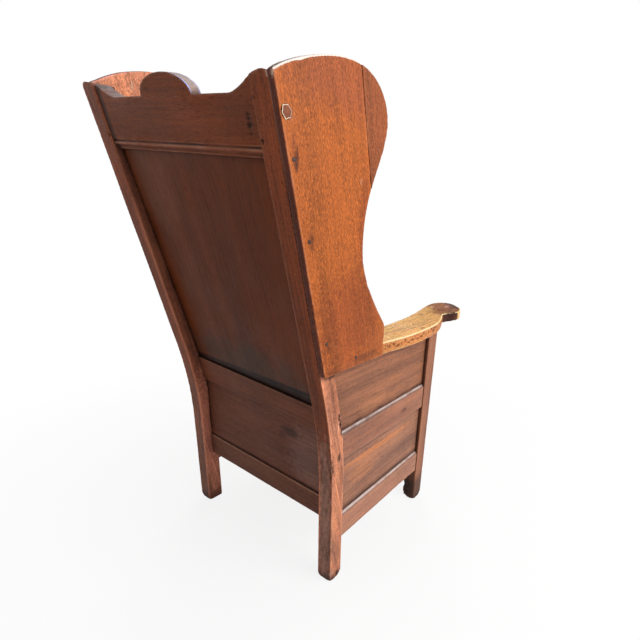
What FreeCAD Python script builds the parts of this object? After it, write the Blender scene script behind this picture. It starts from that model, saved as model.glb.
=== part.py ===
import FreeCAD, Part
import math
import os

os.makedirs("parts", exist_ok=True)

V = FreeCAD.Vector

# Overall frame. The chair faces -Y, stands on Z zero, and is even about X zero.
# Depths are first counted from the back of the rear feet and moved to the middle at the end.
HALF_WIDTH = 300.0
POST_WIDTH = 48.0
REAR_POST_DEPTH = 44.0
FRONT_POST_DEPTH = 48.0
FRONT_POST_BACK = -422.0
POST_TOP = 1200.0
POST_TOP_ROUND = 8.0
RAKE = 12.0
KNEE_HEIGHT = 436.0
KNEE_REACH = 133.0

# Joinery shared by the whole frame.
TENON_LENGTH = 26.0
BACK_TENON_LENGTH = 22.0
TENON_SHOULDER = 8.0
GROOVE_DEPTH = 8.0
PANEL_THICK = 9.0
RAIL_THICK = 22.0
PEG_RADIUS = 3.2
PEG_PROUD = 0.8
FIT_GAP = 0.15

# Side frames: two rails, two panels, all set in from the outer face of the posts.
SIDE_RAIL_SET_IN = 2.6
SIDE_PANEL_SET_IN = 13.0
SIDE_BOTTOM_RAIL_LOW = 130.0
SIDE_BOTTOM_RAIL_HIGH = 208.0
SIDE_MID_RAIL_LOW = 386.0
SIDE_MID_RAIL_HIGH = 468.0
RAIL_CHAMFER_DROP = 9.0
RAIL_CHAMFER_RUN = 8.0

# Back: shaped crest rail, tall panel, middle rail, lower panel, bottom rail.
CREST_SET_IN = 3.5
CREST_THICK = 30.0
CREST_BOTTOM = 1074.0
CREST_VALLEY = 1171.0
SCROLL_START = 184.0
SCROLL_FROM_SIDE = 18.0
LOBE_HALF = 85.0
LOBE_RISE = 36.0
SCROLL_RUN = [0.0, 0.2, 0.5, 0.8, 1.0]
SCROLL_RISE = [0.0, 0.09, 0.5, 0.91, 1.0]
CREST_PEG_FROM_SIDE = 42.0
CREST_PEG_HEIGHTS = [1101.0, 1163.0]
MOULD_HIGH = 19.0
QUIRK_WIDE = 2.8
BEAD_RADIUS = 4.0
MOULD_SINK = 4.0
BACK_PANEL_TOP_SET_IN = 17.0
BACK_PANEL_LOW_SET_IN = 31.0
MID_RAIL_LOW = 449.0
MID_RAIL_HIGH = 528.0
MID_RAIL_TOP_SET_IN = 24.0
MID_RAIL_LOW_SET_IN = 28.0
MID_RAIL_THICK = 19.0
LOWER_PANEL_BACK = -27.0
BACK_BOTTOM_RAIL_LOW = 184.0
BACK_BOTTOM_RAIL_HIGH = 252.0
BACK_BOTTOM_RAIL_SET_IN = 22.0

# Wing boards, nailed on the outside of the rear posts.
WING_THICK = 16.0
WING_SET_IN = 4.0
WING_FOOT_RISE = 2.0
WING_TOP_REAR = 1199.0
WING_FRONT = -160.0
WING_TIP = (-157.0, 735.0)
# Depth and height along the curved edge, from the rear top corner down to the arm.
WING_EDGE = [
    (100.0, 1233.0),
    (40.0, 1255.0),
    (-35.0, 1263.0),
    (-90.0, 1243.0),
    (-121.0, 1196.0),
    (-117.0, 1140.0),
    (-93.0, 1080.0),
    (-73.0, 1025.0),
    (-62.0, 960.0),
    (-66.0, 895.0),
    (-92.0, 830.0),
]
# The front strip is glued on along a line that runs parallel to the post.
STRIP_LINE_TOP = -35.0
STRIP_LINE_TOP_HEIGHT = 1263.0
PLUG_RADIUS = 9.6
PLUG_LENGTH = 34.0
PLUG_SPOT = (133.0, 1146.0)
NAIL_HEAD_RADIUS = 4.0
NAIL_HEAD_THICK = 1.6
NAIL_SHANK_RADIUS = 1.7
NAIL_LENGTH = 38.0
NAIL_SPOTS = [
    (120.0, 1078.0),
    (86.0, 943.0),
    (38.0, 730.0),
]
# Depth and height above the arm's underside of the nail that holds the wing to the arm.
ARM_NAIL_SPOT = (-52.0, 26.0)

# Arms: flat boards with the front end turned outward to a crook.
ARM_LOW = 648.0
ARM_THICK = 33.0
ARM_LIFT = 18.0
ARM_LIFT_START = -400.0
ARM_FRONT = -640.0
ARM_REAR_WIDE = 68.0
# Distance out from the post's outer face and depth, round the arm's plan.
ARM_OUTER = [
    (11.0, -185.0),
    (21.0, -261.0),
    (22.0, -345.0),
    (18.0, -410.0),
    (8.0, -465.0),
]
ARM_NOTCH = (-14.0, -512.0)
ARM_CROOK = [
    (6.0, -548.0),
    (13.0, -580.0),
    (3.0, -613.0),
    (-22.0, -632.0),
    (-56.0, -640.0),
    (-86.0, -631.0),
    (-107.0, -603.0),
    (-110.0, -560.0),
]
ARM_INNER = [
    (-94.0, -420.0),
    (-84.0, -294.0),
    (-75.0, -160.0),
]
ARM_TENON = 20.0

# Seat of three boards on side bearers.
SEAT_TOP = 445.0
SEAT_THICK = 20.0
SEAT_BACK = -48.0
SEAT_FRONT = -484.0
SEAT_JOINTS = [-190.0, -330.0]
SEAT_GAP = 1.0
SEAT_SIDE_GAP = 2.0
BEARER_WIDE = 22.0
BEARER_HIGH = 26.0

# Front rails and the drawer between them.
FRONT_RAIL_SET_IN = 12.0
FRONT_SEAT_RAIL_LOW = 386.0
DRAWER_SIDE_GAP = 1.6
DRAWER_TOP_GAP = 3.0
DRAWER_LOW_GAP = 1.0
DRAWER_FRONT_THICK = 21.0
DRAWER_BOARD = 11.0
DRAWER_SIDE_DROP = 22.0
DRAWER_DEPTH = 366.0
DRAWER_BOTTOM_THICK = 8.0
DRAWER_BOTTOM_UP = 7.0
DRAWER_GROOVE = 5.0
RUNNER_HIGH = 18.0
RUNNER_FROM_SIDE = 68.0
GUIDE_HIGH = 26.0
GUIDE_GAP = 1.0
KNOB_SPREAD = 128.0
KNOB_STEM_RADIUS = 8.0
KNOB_STEM_LENGTH = 10.0
KNOB_RADIUS = 17.0
KNOB_LENGTH = 22.0
KNOB_BASE_RADIUS = 12.0
KNOB_ROUND = 7.0

REACH = 500.0
TALL = 1500.0
SLOPE = math.tan(math.radians(RAKE))
COS_RAKE = math.cos(math.radians(RAKE))
INNER_FACE = HALF_WIDTH - POST_WIDTH
SCROLL_END = HALF_WIDTH - SCROLL_FROM_SIDE
CREST_PEG_SPREAD = HALF_WIDTH - CREST_PEG_FROM_SIDE
WING_FOOT = ARM_LOW + WING_FOOT_RISE
ARM_REAR_INNER = HALF_WIDTH - ARM_REAR_WIDE
RUNNER_INNER = HALF_WIDTH - RUNNER_FROM_SIDE
FRONT_FACE = FRONT_POST_BACK - FRONT_POST_DEPTH
LEAN_END = KNEE_HEIGHT + KNEE_REACH
LEAN_START = KNEE_HEIGHT - KNEE_REACH
WHOLE_BACK = (POST_TOP - KNEE_HEIGHT) * SLOPE
MIDDLE_SHIFT = -(WHOLE_BACK + ARM_FRONT) / 2.0

solids = {}


def block(x0, x1, y0, y1, z0, z1):
    corner = V(min(x0, x1), min(y0, y1), min(z0, z1))
    return Part.makeBox(abs(x1 - x0), abs(y1 - y0), abs(z1 - z0), corner)


def polygon_along_x(points, x0, x1):
    corners = [V(x0, y, z) for y, z in points]
    wire = Part.makePolygon(corners + corners[:1])
    return Part.Face(wire).extrude(V(x1 - x0, 0, 0))


def polygon_along_y(points, y0, y1):
    corners = [V(x, y0, z) for x, z in points]
    wire = Part.makePolygon(corners + corners[:1])
    return Part.Face(wire).extrude(V(0, y1 - y0, 0))


def straight(a, b):
    return Part.LineSegment(a, b).toShape()


def spline(points):
    curve = Part.BSplineCurve()
    curve.interpolate(points)
    return curve.toShape()


def post_back(z):
    """Depth of the rear post's back face at a height: upright foot, knee, rake."""
    bent = min(max(z - LEAN_START, 0.0), 2.0 * KNEE_REACH)
    knee = SLOPE * bent * bent / (4.0 * KNEE_REACH)
    return knee + max(z - LEAN_END, 0.0) * SLOPE


def post_line(x, shift, z0, z1):
    """Edges of the post's curved line from z0 up to z1, moved in depth by shift."""
    a = V(x, shift, z0)
    b = V(x, shift, LEAN_START)
    knee = V(x, shift, KNEE_HEIGHT)
    c = V(x, post_back(LEAN_END) + shift, LEAN_END)
    d = V(x, post_back(z1) + shift, z1)
    curve = Part.BezierCurve()
    curve.setPoles([b, knee, c])
    return [straight(a, b), curve.toShape(), straight(c, d)], a, d


def behind_post_front(shift):
    """Everything behind the front face of the rear posts, moved in depth by shift."""
    edges, low, high = post_line(-REACH, shift - REAR_POST_DEPTH, -RAIL_THICK, TALL)
    far_high = V(-REACH, REACH, TALL)
    far_low = V(-REACH, REACH, -RAIL_THICK)
    edges = edges + [straight(high, far_high), straight(far_high, far_low), straight(far_low, low)]
    return Part.Face(Part.Wire(edges)).extrude(V(2.0 * REACH, 0, 0))


def mirrored(shape):
    return shape.mirror(V(0, 0, 0), V(1, 0, 0))


def let_in(piece, hosts):
    """Cut the room for a tenon, tongue or pin out of the pieces that hold it."""
    for host in hosts:
        solids[host] = solids[host].cut(piece)


def raked(shape):
    """Lay a shape drawn upright onto the raked back plane of the rear posts."""
    shape.rotate(V(0, 0, 0), V(1, 0, 0), -RAKE)
    shape.translate(V(0, 0, KNEE_HEIGHT))
    return shape


def up_slope(z):
    return (z - KNEE_HEIGHT) / COS_RAKE


# Rear posts, sawn from one plank each with the knee at seat height.
back_edges, back_low, back_high = post_line(INNER_FACE, 0.0, 0.0, POST_TOP)
front_edges, front_low, front_high = post_line(INNER_FACE, -REAR_POST_DEPTH, 0.0, POST_TOP)
post_wire = Part.Wire(Part.__sortEdges__(
    back_edges + front_edges + [straight(back_low, front_low), straight(back_high, front_high)]))
rear_post = Part.Face(post_wire).extrude(V(POST_WIDTH, 0, 0))
high_edges = [edge for edge in rear_post.Edges if edge.BoundBox.ZMin > POST_TOP - POST_TOP_ROUND]
outer_edges = [edge for edge in high_edges if edge.BoundBox.XMin > HALF_WIDTH - POST_TOP_ROUND]
rear_post = rear_post.makeFillet(POST_TOP_ROUND, outer_edges)
solids["left_rear_post"] = rear_post
solids["right_rear_post"] = mirrored(rear_post)
REAR_POSTS = ["left_rear_post", "right_rear_post"]

# Front posts, straight, with a tenon on top that goes up into the arm.
front_post = block(INNER_FACE, HALF_WIDTH, FRONT_POST_BACK, FRONT_FACE, 0.0, ARM_LOW)
arm_tenon = block(INNER_FACE + TENON_SHOULDER, HALF_WIDTH - TENON_SHOULDER,
                  FRONT_POST_BACK - TENON_SHOULDER, FRONT_FACE + TENON_SHOULDER,
                  ARM_LOW, ARM_LOW + ARM_TENON)
front_post = front_post.fuse(arm_tenon).removeSplitter()
solids["left_front_post"] = front_post
solids["right_front_post"] = mirrored(front_post)
FRONT_POSTS = ["left_front_post", "right_front_post"]

# Crest rail, drawn upright and laid on the rake: scrolled ends, flat valleys, moulded lower edge.
# The scrolls run on over the inner part of the post tops.
crest_low = up_slope(CREST_BOTTOM)
crest_flat = up_slope(CREST_VALLEY)
crest_end = up_slope(POST_TOP)
crest_back = -CREST_SET_IN
scroll_run = SCROLL_END - SCROLL_START
scroll_rise = crest_end - crest_flat


def scroll(side):
    """Points of the scrolled end of the crest on one side."""
    return [V(side * (SCROLL_START + scroll_run * a), crest_back, crest_flat + scroll_rise * b)
            for a, b in zip(SCROLL_RUN, SCROLL_RISE)]


left_scroll = scroll(1)
right_scroll = scroll(-1)
left_foot = V(SCROLL_END, crest_back, crest_low)
right_foot = V(-SCROLL_END, crest_back, crest_low)
crest_edges = [spline(left_scroll), straight(left_scroll[-1], left_foot), straight(left_foot, right_foot),
               straight(right_foot, right_scroll[-1]), spline(right_scroll),
               straight(right_scroll[0], left_scroll[0])]
crest_wire = Part.Wire(Part.__sortEdges__(crest_edges))
crest = Part.Face(crest_wire).extrude(V(0, -CREST_THICK, 0))
crest = crest.common(block(-INNER_FACE, INNER_FACE, crest_back, crest_back - CREST_THICK, crest_low, crest_end))
crest = crest.cut(block(-INNER_FACE, INNER_FACE, crest_back, crest_back - MOULD_SINK,
                        crest_low, crest_low + MOULD_HIGH))
bead_height = crest_low + MOULD_HIGH - QUIRK_WIDE - BEAD_RADIUS
bead = Part.makeCylinder(BEAD_RADIUS, 2.0 * INNER_FACE,
                         V(-INNER_FACE, crest_back - BEAD_RADIUS, bead_height), V(1, 0, 0))
crest = crest.fuse(bead)
tenon_middle = crest_back - CREST_THICK / 2.0
crest_tenon = block(-INNER_FACE - BACK_TENON_LENGTH, INNER_FACE + BACK_TENON_LENGTH,
                    tenon_middle - PANEL_THICK / 2.0, tenon_middle + PANEL_THICK / 2.0,
                    crest_low + MOULD_HIGH, crest_flat)
crest = raked(crest.fuse(crest_tenon).removeSplitter())
solids["crest_rail"] = crest

# Lobe in the middle of the crest, glued on at the level of the valleys.
lobe_curve = Part.Ellipse(V(0, 0, 0), LOBE_HALF, LOBE_RISE / COS_RAKE)
lobe_arc = Part.Arc(lobe_curve, 0.0, math.pi).toShape()
lobe_arc.rotate(V(0, 0, 0), V(1, 0, 0), 90.0)
lobe_arc.translate(V(0, crest_back, crest_flat))
lobe_base = straight(V(-LOBE_HALF, crest_back, crest_flat), V(LOBE_HALF, crest_back, crest_flat))
lobe = Part.Face(Part.Wire([lobe_arc, lobe_base])).extrude(V(0, -RAIL_THICK, 0))
solids["crest_lobe"] = raked(lobe)

# Middle rail of the back, on the rake, just above the seat.
mid_top_back = post_back(MID_RAIL_HIGH) - MID_RAIL_TOP_SET_IN
mid_low_back = post_back(MID_RAIL_LOW) - MID_RAIL_LOW_SET_IN


def mid_rail_section(height_low, height_high, skin_back, skin_front):
    """Section of the middle rail between two heights, pared from back and front."""
    lean = (mid_top_back - mid_low_back) / (MID_RAIL_HIGH - MID_RAIL_LOW)
    low = mid_low_back + (height_low - MID_RAIL_LOW) * lean
    high = mid_low_back + (height_high - MID_RAIL_LOW) * lean
    return [(low - skin_back, height_low), (high - skin_back, height_high),
            (high - MID_RAIL_THICK + skin_front, height_high), (low - MID_RAIL_THICK + skin_front, height_low)]


mid_cheek = (MID_RAIL_THICK - PANEL_THICK) / 2.0
mid_rail = polygon_along_x(mid_rail_section(MID_RAIL_LOW, MID_RAIL_HIGH, 0.0, 0.0), -INNER_FACE, INNER_FACE)
mid_tenon_section = mid_rail_section(MID_RAIL_LOW + TENON_SHOULDER, MID_RAIL_HIGH - TENON_SHOULDER,
                                     mid_cheek, mid_cheek)
mid_tenon = polygon_along_x(mid_tenon_section, -INNER_FACE - BACK_TENON_LENGTH,
                            INNER_FACE + BACK_TENON_LENGTH)
solids["back_mid_rail"] = mid_rail.fuse(mid_tenon).removeSplitter()

# Bottom rail of the back, upright between the feet.
bottom_back = -BACK_BOTTOM_RAIL_SET_IN
bottom_rail = block(-INNER_FACE, INNER_FACE, bottom_back, bottom_back - RAIL_THICK,
                    BACK_BOTTOM_RAIL_LOW, BACK_BOTTOM_RAIL_HIGH)
bottom_tenon = block(-INNER_FACE - BACK_TENON_LENGTH, INNER_FACE + BACK_TENON_LENGTH,
                     LOWER_PANEL_BACK, LOWER_PANEL_BACK - PANEL_THICK,
                     BACK_BOTTOM_RAIL_LOW + TENON_SHOULDER, BACK_BOTTOM_RAIL_HIGH - TENON_SHOULDER)
solids["back_bottom_rail"] = bottom_rail.fuse(bottom_tenon).removeSplitter()

# Tall back panel, its edges held in grooves all round.
panel_top_back = post_back(CREST_BOTTOM) - BACK_PANEL_TOP_SET_IN
panel_low_back = post_back(MID_RAIL_HIGH) - BACK_PANEL_LOW_SET_IN
panel_lean = (panel_top_back - panel_low_back) / (CREST_BOTTOM - MID_RAIL_HIGH)
panel_high = CREST_BOTTOM + GROOVE_DEPTH
panel_low = MID_RAIL_HIGH - GROOVE_DEPTH
panel_high_back = panel_top_back + GROOVE_DEPTH * panel_lean
panel_foot_back = panel_low_back - GROOVE_DEPTH * panel_lean
back_panel = polygon_along_x([(panel_foot_back, panel_low), (panel_high_back, panel_high),
                              (panel_high_back - PANEL_THICK, panel_high),
                              (panel_foot_back - PANEL_THICK, panel_low)],
                             -INNER_FACE - GROOVE_DEPTH, INNER_FACE + GROOVE_DEPTH)
solids["back_panel"] = back_panel

# Lower back panel, upright, between the middle and the bottom rail.
lower_panel = block(-INNER_FACE - GROOVE_DEPTH, INNER_FACE + GROOVE_DEPTH,
                    LOWER_PANEL_BACK, LOWER_PANEL_BACK - PANEL_THICK,
                    BACK_BOTTOM_RAIL_HIGH - GROOVE_DEPTH, MID_RAIL_LOW + GROOVE_DEPTH)
solids["back_lower_panel"] = lower_panel

for points, post in ((left_scroll, "left_rear_post"), (right_scroll, "right_rear_post")):
    inner_top = V(points[0].x, crest_back, TALL)
    outer_top = V(points[-1].x, crest_back, TALL)
    above = Part.Wire([spline(points), straight(points[-1], outer_top), straight(outer_top, inner_top),
                       straight(inner_top, points[0])])
    above_scroll = Part.Face(above).extrude(V(0, -2.0 * REAR_POST_DEPTH, 0))
    above_scroll.translate(V(0, REAR_POST_DEPTH, 0))
    let_in(raked(above_scroll), [post])
let_in(solids["crest_rail"], REAR_POSTS)
let_in(solids["back_mid_rail"], REAR_POSTS)
let_in(solids["back_bottom_rail"], REAR_POSTS)
let_in(back_panel, REAR_POSTS + ["crest_rail", "back_mid_rail"])
let_in(lower_panel, REAR_POSTS + ["back_mid_rail", "back_bottom_rail"])

# Side frames, drawn on the left and mirrored to the right.
rail_outer = HALF_WIDTH - SIDE_RAIL_SET_IN
rail_inner = rail_outer - RAIL_THICK
panel_outer = HALF_WIDTH - SIDE_PANEL_SET_IN
panel_inner = panel_outer - PANEL_THICK
shoulder_back = behind_post_front(0.0)
groove_back = behind_post_front(GROOVE_DEPTH)
mortise_back = behind_post_front(TENON_LENGTH)


def side_rail(low, high):
    """Rail with a chamfered upper outer edge and a tenon at each end."""
    section = [(rail_outer, low), (rail_outer, high - RAIL_CHAMFER_DROP),
               (rail_outer - RAIL_CHAMFER_RUN, high), (rail_inner, high), (rail_inner, low)]
    rail = polygon_along_y(section, FRONT_POST_BACK, REACH).cut(shoulder_back)
    tenon_end = post_back(low) - REAR_POST_DEPTH + TENON_LENGTH
    tenon = block(panel_inner, panel_outer, FRONT_POST_BACK - TENON_LENGTH, tenon_end,
                  low + TENON_SHOULDER, high - TENON_SHOULDER)
    return rail.fuse(tenon).removeSplitter(), tenon


def side_panel(low, high):
    """Panel whose edges stand in grooves of posts and rails."""
    panel = block(panel_inner, panel_outer, FRONT_POST_BACK - GROOVE_DEPTH, REACH,
                  low - GROOVE_DEPTH, high + GROOVE_DEPTH)
    return panel.cut(groove_back)


low_rail, low_rail_tenon = side_rail(SIDE_BOTTOM_RAIL_LOW, SIDE_BOTTOM_RAIL_HIGH)
high_rail, high_rail_tenon = side_rail(SIDE_MID_RAIL_LOW, SIDE_MID_RAIL_HIGH)
side_pieces = {
    "bottom_rail": low_rail,
    "mid_rail": high_rail,
    "lower_panel": side_panel(SIDE_BOTTOM_RAIL_HIGH, SIDE_MID_RAIL_LOW),
    "upper_panel": side_panel(SIDE_MID_RAIL_HIGH, ARM_LOW),
}

# Arm: its plan cut from a board, its front end swept a little upward.
arm_high = ARM_LOW + ARM_THICK
arm_end = ARM_FRONT - RAIL_THICK
lift_span = ARM_LIFT_START - ARM_FRONT


def arm_side_line(height):
    """Side line of the arm at a height, level and then lifting to the front."""
    rear = V(0, REACH, height)
    start = V(0, ARM_LIFT_START, height)
    pull = V(0, ARM_LIFT_START - lift_span / 2.0, height)
    end = V(0, ARM_FRONT, height + ARM_LIFT)
    tip = V(0, arm_end, height + ARM_LIFT * arm_end / ARM_FRONT)
    curve = Part.BezierCurve()
    curve.setPoles([start, pull, end])
    return [straight(rear, start), curve.toShape(), straight(end, tip)], rear, tip


low_edges, low_rear, low_tip = arm_side_line(ARM_LOW)
high_edges, high_rear, high_tip = arm_side_line(arm_high)
arm_side = Part.Wire(Part.__sortEdges__(
    low_edges + high_edges + [straight(low_rear, high_rear), straight(low_tip, high_tip)]))
arm_side_solid = Part.Face(arm_side).extrude(V(REACH, 0, 0))


def plan(points):
    return [V(HALF_WIDTH + out, depth, ARM_LOW - ARM_LIFT) for out, depth in points]


arm_start = V(HALF_WIDTH, WING_FRONT, ARM_LOW - ARM_LIFT)
arm_rear_out = V(HALF_WIDTH, REACH, ARM_LOW - ARM_LIFT)
arm_rear_in = V(ARM_REAR_INNER, REACH, ARM_LOW - ARM_LIFT)
arm_corner = V(HALF_WIDTH + WING_THICK / 2.0, WING_FRONT, ARM_LOW - ARM_LIFT)
outer_points = [arm_corner] + plan(ARM_OUTER) + plan([ARM_NOTCH])
crook_points = plan([ARM_NOTCH]) + plan(ARM_CROOK) + plan(ARM_INNER)
rear_side_in = V(ARM_REAR_INNER, 0, ARM_LOW - ARM_LIFT)
arm_edges = [straight(arm_rear_out, arm_start), straight(arm_start, arm_corner), spline(outer_points),
             spline(crook_points + [rear_side_in]), straight(rear_side_in, arm_rear_in),
             straight(arm_rear_in, arm_rear_out)]
arm_plan = Part.Face(Part.Wire(Part.__sortEdges__(arm_edges)))
arm = arm_plan.extrude(V(0, 0, REACH)).common(arm_side_solid)
arm = arm.cut(shoulder_back)
rear_tenon = block(ARM_REAR_INNER + POST_WIDTH, HALF_WIDTH - TENON_SHOULDER, FRONT_POST_BACK, REACH,
                   ARM_LOW + TENON_SHOULDER, arm_high - TENON_SHOULDER)
rear_tenon = rear_tenon.cut(mortise_back).common(behind_post_front(-GROOVE_DEPTH))
side_pieces["arm"] = arm.fuse(rear_tenon).removeSplitter()

# Wing board and its glued front strip.
wing_inner = HALF_WIDTH
wing_rear_low = V(wing_inner, post_back(WING_FOOT) - WING_SET_IN, WING_FOOT)
wing_rear_high = V(wing_inner, post_back(WING_TOP_REAR) - WING_SET_IN, WING_TOP_REAR)
wing_tip = V(wing_inner, WING_TIP[0], WING_TIP[1])
wing_toe = V(wing_inner, WING_FRONT, WING_FOOT)
wing_points = [wing_rear_high] + [V(wing_inner, y, z) for y, z in WING_EDGE] + [wing_tip]
wing_edges = [straight(wing_rear_low, wing_rear_high), spline(wing_points), straight(wing_tip, wing_toe),
              straight(wing_toe, wing_rear_low)]
wing = Part.Face(Part.Wire(wing_edges)).extrude(V(WING_THICK, 0, 0))
strip_low_height = KNEE_HEIGHT
strip_low_depth = STRIP_LINE_TOP - (STRIP_LINE_TOP_HEIGHT - strip_low_height) * SLOPE
strip_high_depth = STRIP_LINE_TOP + (TALL - STRIP_LINE_TOP_HEIGHT) * SLOPE
strip_side = polygon_along_x([(strip_low_depth, strip_low_height), (strip_high_depth, TALL),
                              (-REACH, TALL), (-REACH, strip_low_height)], wing_inner, HALF_WIDTH + WING_THICK)
strip_parts = sorted(wing.common(strip_side).Solids, key=lambda s: s.CenterOfMass.z)
wing_strip = strip_parts[-1]
side_pieces["wing_board"] = wing.cut(wing_strip)
side_pieces["wing_strip"] = wing_strip

# Large plug and nails through the wing into the rear post and the arm.
wing_outer = HALF_WIDTH + WING_THICK


def pin(radius, length, spot, skin):
    """Round pin lying across the chair, its end proud of the wing by skin."""
    depth, height = spot
    return Part.makeCylinder(radius, length, V(wing_outer + skin - length, depth, height), V(1, 0, 0))


side_pieces["wing_plug"] = pin(PLUG_RADIUS, PLUG_LENGTH, PLUG_SPOT, PEG_PROUD)
plug_room = pin(PLUG_RADIUS + FIT_GAP, PLUG_LENGTH + FIT_GAP, PLUG_SPOT, PEG_PROUD)
nails = []
nail_rooms = []
all_nail_spots = NAIL_SPOTS + [(ARM_NAIL_SPOT[0], ARM_LOW + ARM_NAIL_SPOT[1])]
for spot in all_nail_spots:
    head = pin(NAIL_HEAD_RADIUS, NAIL_HEAD_THICK, spot, PEG_PROUD)
    shank = pin(NAIL_SHANK_RADIUS, NAIL_LENGTH, spot, PEG_PROUD)
    nails.append(head.fuse(shank).removeSplitter())
    nail_rooms.append(pin(NAIL_HEAD_RADIUS + FIT_GAP, NAIL_HEAD_THICK, spot, PEG_PROUD))
    nail_rooms.append(pin(NAIL_SHANK_RADIUS + FIT_GAP, NAIL_LENGTH + FIT_GAP, spot, PEG_PROUD))
side_pieces["wing_nails"] = Part.makeCompound(nails)

for part_name, shape in side_pieces.items():
    solids["left_" + part_name] = shape
    solids["right_" + part_name] = mirrored(shape)

for side in ("left", "right"):
    turn = mirrored if side == "right" else (lambda shape: shape)
    rear = side + "_rear_post"
    front = side + "_front_post"
    for tenon in (low_rail_tenon, high_rail_tenon):
        let_in(turn(tenon), [rear, front])
    let_in(solids[side + "_lower_panel"], [rear, front, side + "_bottom_rail", side + "_mid_rail"])
    let_in(solids[side + "_upper_panel"], [rear, front, side + "_mid_rail", side + "_arm"])
    let_in(solids[front], [side + "_arm"])
    let_in(turn(rear_tenon), [rear])
    for room in [plug_room] + nail_rooms:
        let_in(turn(room), [side + "_wing_board", rear, side + "_arm"])

# Pegs that pin the tenons of the crest rail, driven in from behind, square to the rake.
peg_way = V(0, -COS_RAKE, COS_RAKE * SLOPE)
peg_length = REAR_POST_DEPTH - TENON_SHOULDER
crest_pegs = []
for height in CREST_PEG_HEIGHTS:
    for side, post in ((1, "left_rear_post"), (-1, "right_rear_post")):
        start = V(side * CREST_PEG_SPREAD, post_back(height), height) - peg_way * PEG_PROUD
        crest_pegs.append(Part.makeCylinder(PEG_RADIUS, peg_length, start, peg_way))
        room = Part.makeCylinder(PEG_RADIUS + FIT_GAP, peg_length + FIT_GAP, start, peg_way)
        let_in(room, [post, "crest_rail"])
solids["crest_pegs"] = Part.makeCompound(crest_pegs)

# Front rails between the front posts, over and under the drawer.
front_rail_face = FRONT_FACE + FRONT_RAIL_SET_IN
front_rail_back = front_rail_face + RAIL_THICK
seat_low = SEAT_TOP - SEAT_THICK


def front_rail(low, high):
    rail = block(-INNER_FACE, INNER_FACE, front_rail_face, front_rail_back, low, high)
    middle = (front_rail_face + front_rail_back) / 2.0
    tenon = block(-INNER_FACE - TENON_LENGTH / 2.0, INNER_FACE + TENON_LENGTH / 2.0,
                  middle - PANEL_THICK / 2.0, middle + PANEL_THICK / 2.0,
                  low + TENON_SHOULDER, high - TENON_SHOULDER)
    return rail.fuse(tenon).removeSplitter()


solids["front_seat_rail"] = front_rail(FRONT_SEAT_RAIL_LOW, seat_low)
solids["front_bottom_rail"] = front_rail(SIDE_BOTTOM_RAIL_LOW, SIDE_BOTTOM_RAIL_HIGH)
let_in(solids["front_seat_rail"], FRONT_POSTS)
let_in(solids["front_bottom_rail"], FRONT_POSTS)

# Seat bearers, drawer runners and drawer guides, nailed inside the side rails.
inside_back = -BACK_BOTTOM_RAIL_SET_IN - RAIL_THICK
runner_low = SIDE_BOTTOM_RAIL_HIGH - RUNNER_HIGH
guide_face = INNER_FACE + GUIDE_GAP
inner_strips = {
    "seat_bearer": block(rail_inner - BEARER_WIDE, rail_inner, SEAT_BACK, FRONT_POST_BACK,
                         seat_low - BEARER_HIGH, seat_low),
    "drawer_runner": block(RUNNER_INNER, rail_inner, inside_back, FRONT_POST_BACK,
                           runner_low, SIDE_BOTTOM_RAIL_HIGH),
    "drawer_guide": block(guide_face, panel_inner, inside_back, FRONT_POST_BACK,
                          SIDE_BOTTOM_RAIL_HIGH, SIDE_BOTTOM_RAIL_HIGH + GUIDE_HIGH),
}
for part_name, shape in inner_strips.items():
    solids["left_" + part_name] = shape
    solids["right_" + part_name] = mirrored(shape)

# Seat boards, running across; the front one is cut round the front posts.
board_edges = [SEAT_BACK] + SEAT_JOINTS + [SEAT_FRONT]
board_names = ["seat_board_back", "seat_board_middle", "seat_board_front"]
board_half = rail_inner - SEAT_SIDE_GAP
for name, back, front in zip(board_names, board_edges, board_edges[1:]):
    board = block(-board_half, board_half, back, front + SEAT_GAP, seat_low, SEAT_TOP)
    if name == "seat_board_front":
        notch_depth = FRONT_POST_BACK + SEAT_SIDE_GAP
        for side in (1, -1):
            board = board.cut(block(side * (INNER_FACE - SEAT_SIDE_GAP), side * REACH, notch_depth, -REACH,
                                    seat_low, SEAT_TOP))
    solids[name] = board

# Drawer: front, two sides, back, bottom and two turned knobs. It slides out to the front.
drawer_half = INNER_FACE - DRAWER_SIDE_GAP
runner_top = SIDE_BOTTOM_RAIL_HIGH
drawer_low = runner_top + DRAWER_LOW_GAP
drawer_high = FRONT_SEAT_RAIL_LOW - DRAWER_TOP_GAP
drawer_face = front_rail_face
drawer_front_back = drawer_face + DRAWER_FRONT_THICK
drawer_end = drawer_face + DRAWER_DEPTH
side_high = drawer_high - DRAWER_SIDE_DROP
bottom_low = drawer_low + DRAWER_BOTTOM_UP
bottom_high = bottom_low + DRAWER_BOTTOM_THICK
inner_half = drawer_half - DRAWER_BOARD
solids["drawer_front"] = block(-drawer_half, drawer_half, drawer_face, drawer_front_back,
                               drawer_low, drawer_high)
solids["drawer_left_side"] = block(inner_half, drawer_half, drawer_front_back, drawer_end,
                                   runner_top, side_high)
solids["drawer_right_side"] = mirrored(solids["drawer_left_side"])
solids["drawer_back"] = block(-inner_half, inner_half, drawer_end - DRAWER_BOARD, drawer_end,
                              bottom_high, side_high)
solids["drawer_bottom"] = block(-inner_half - DRAWER_GROOVE, inner_half + DRAWER_GROOVE,
                                drawer_front_back - DRAWER_GROOVE, drawer_end, bottom_low, bottom_high)
let_in(solids["drawer_bottom"], ["drawer_front", "drawer_left_side", "drawer_right_side"])

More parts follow.
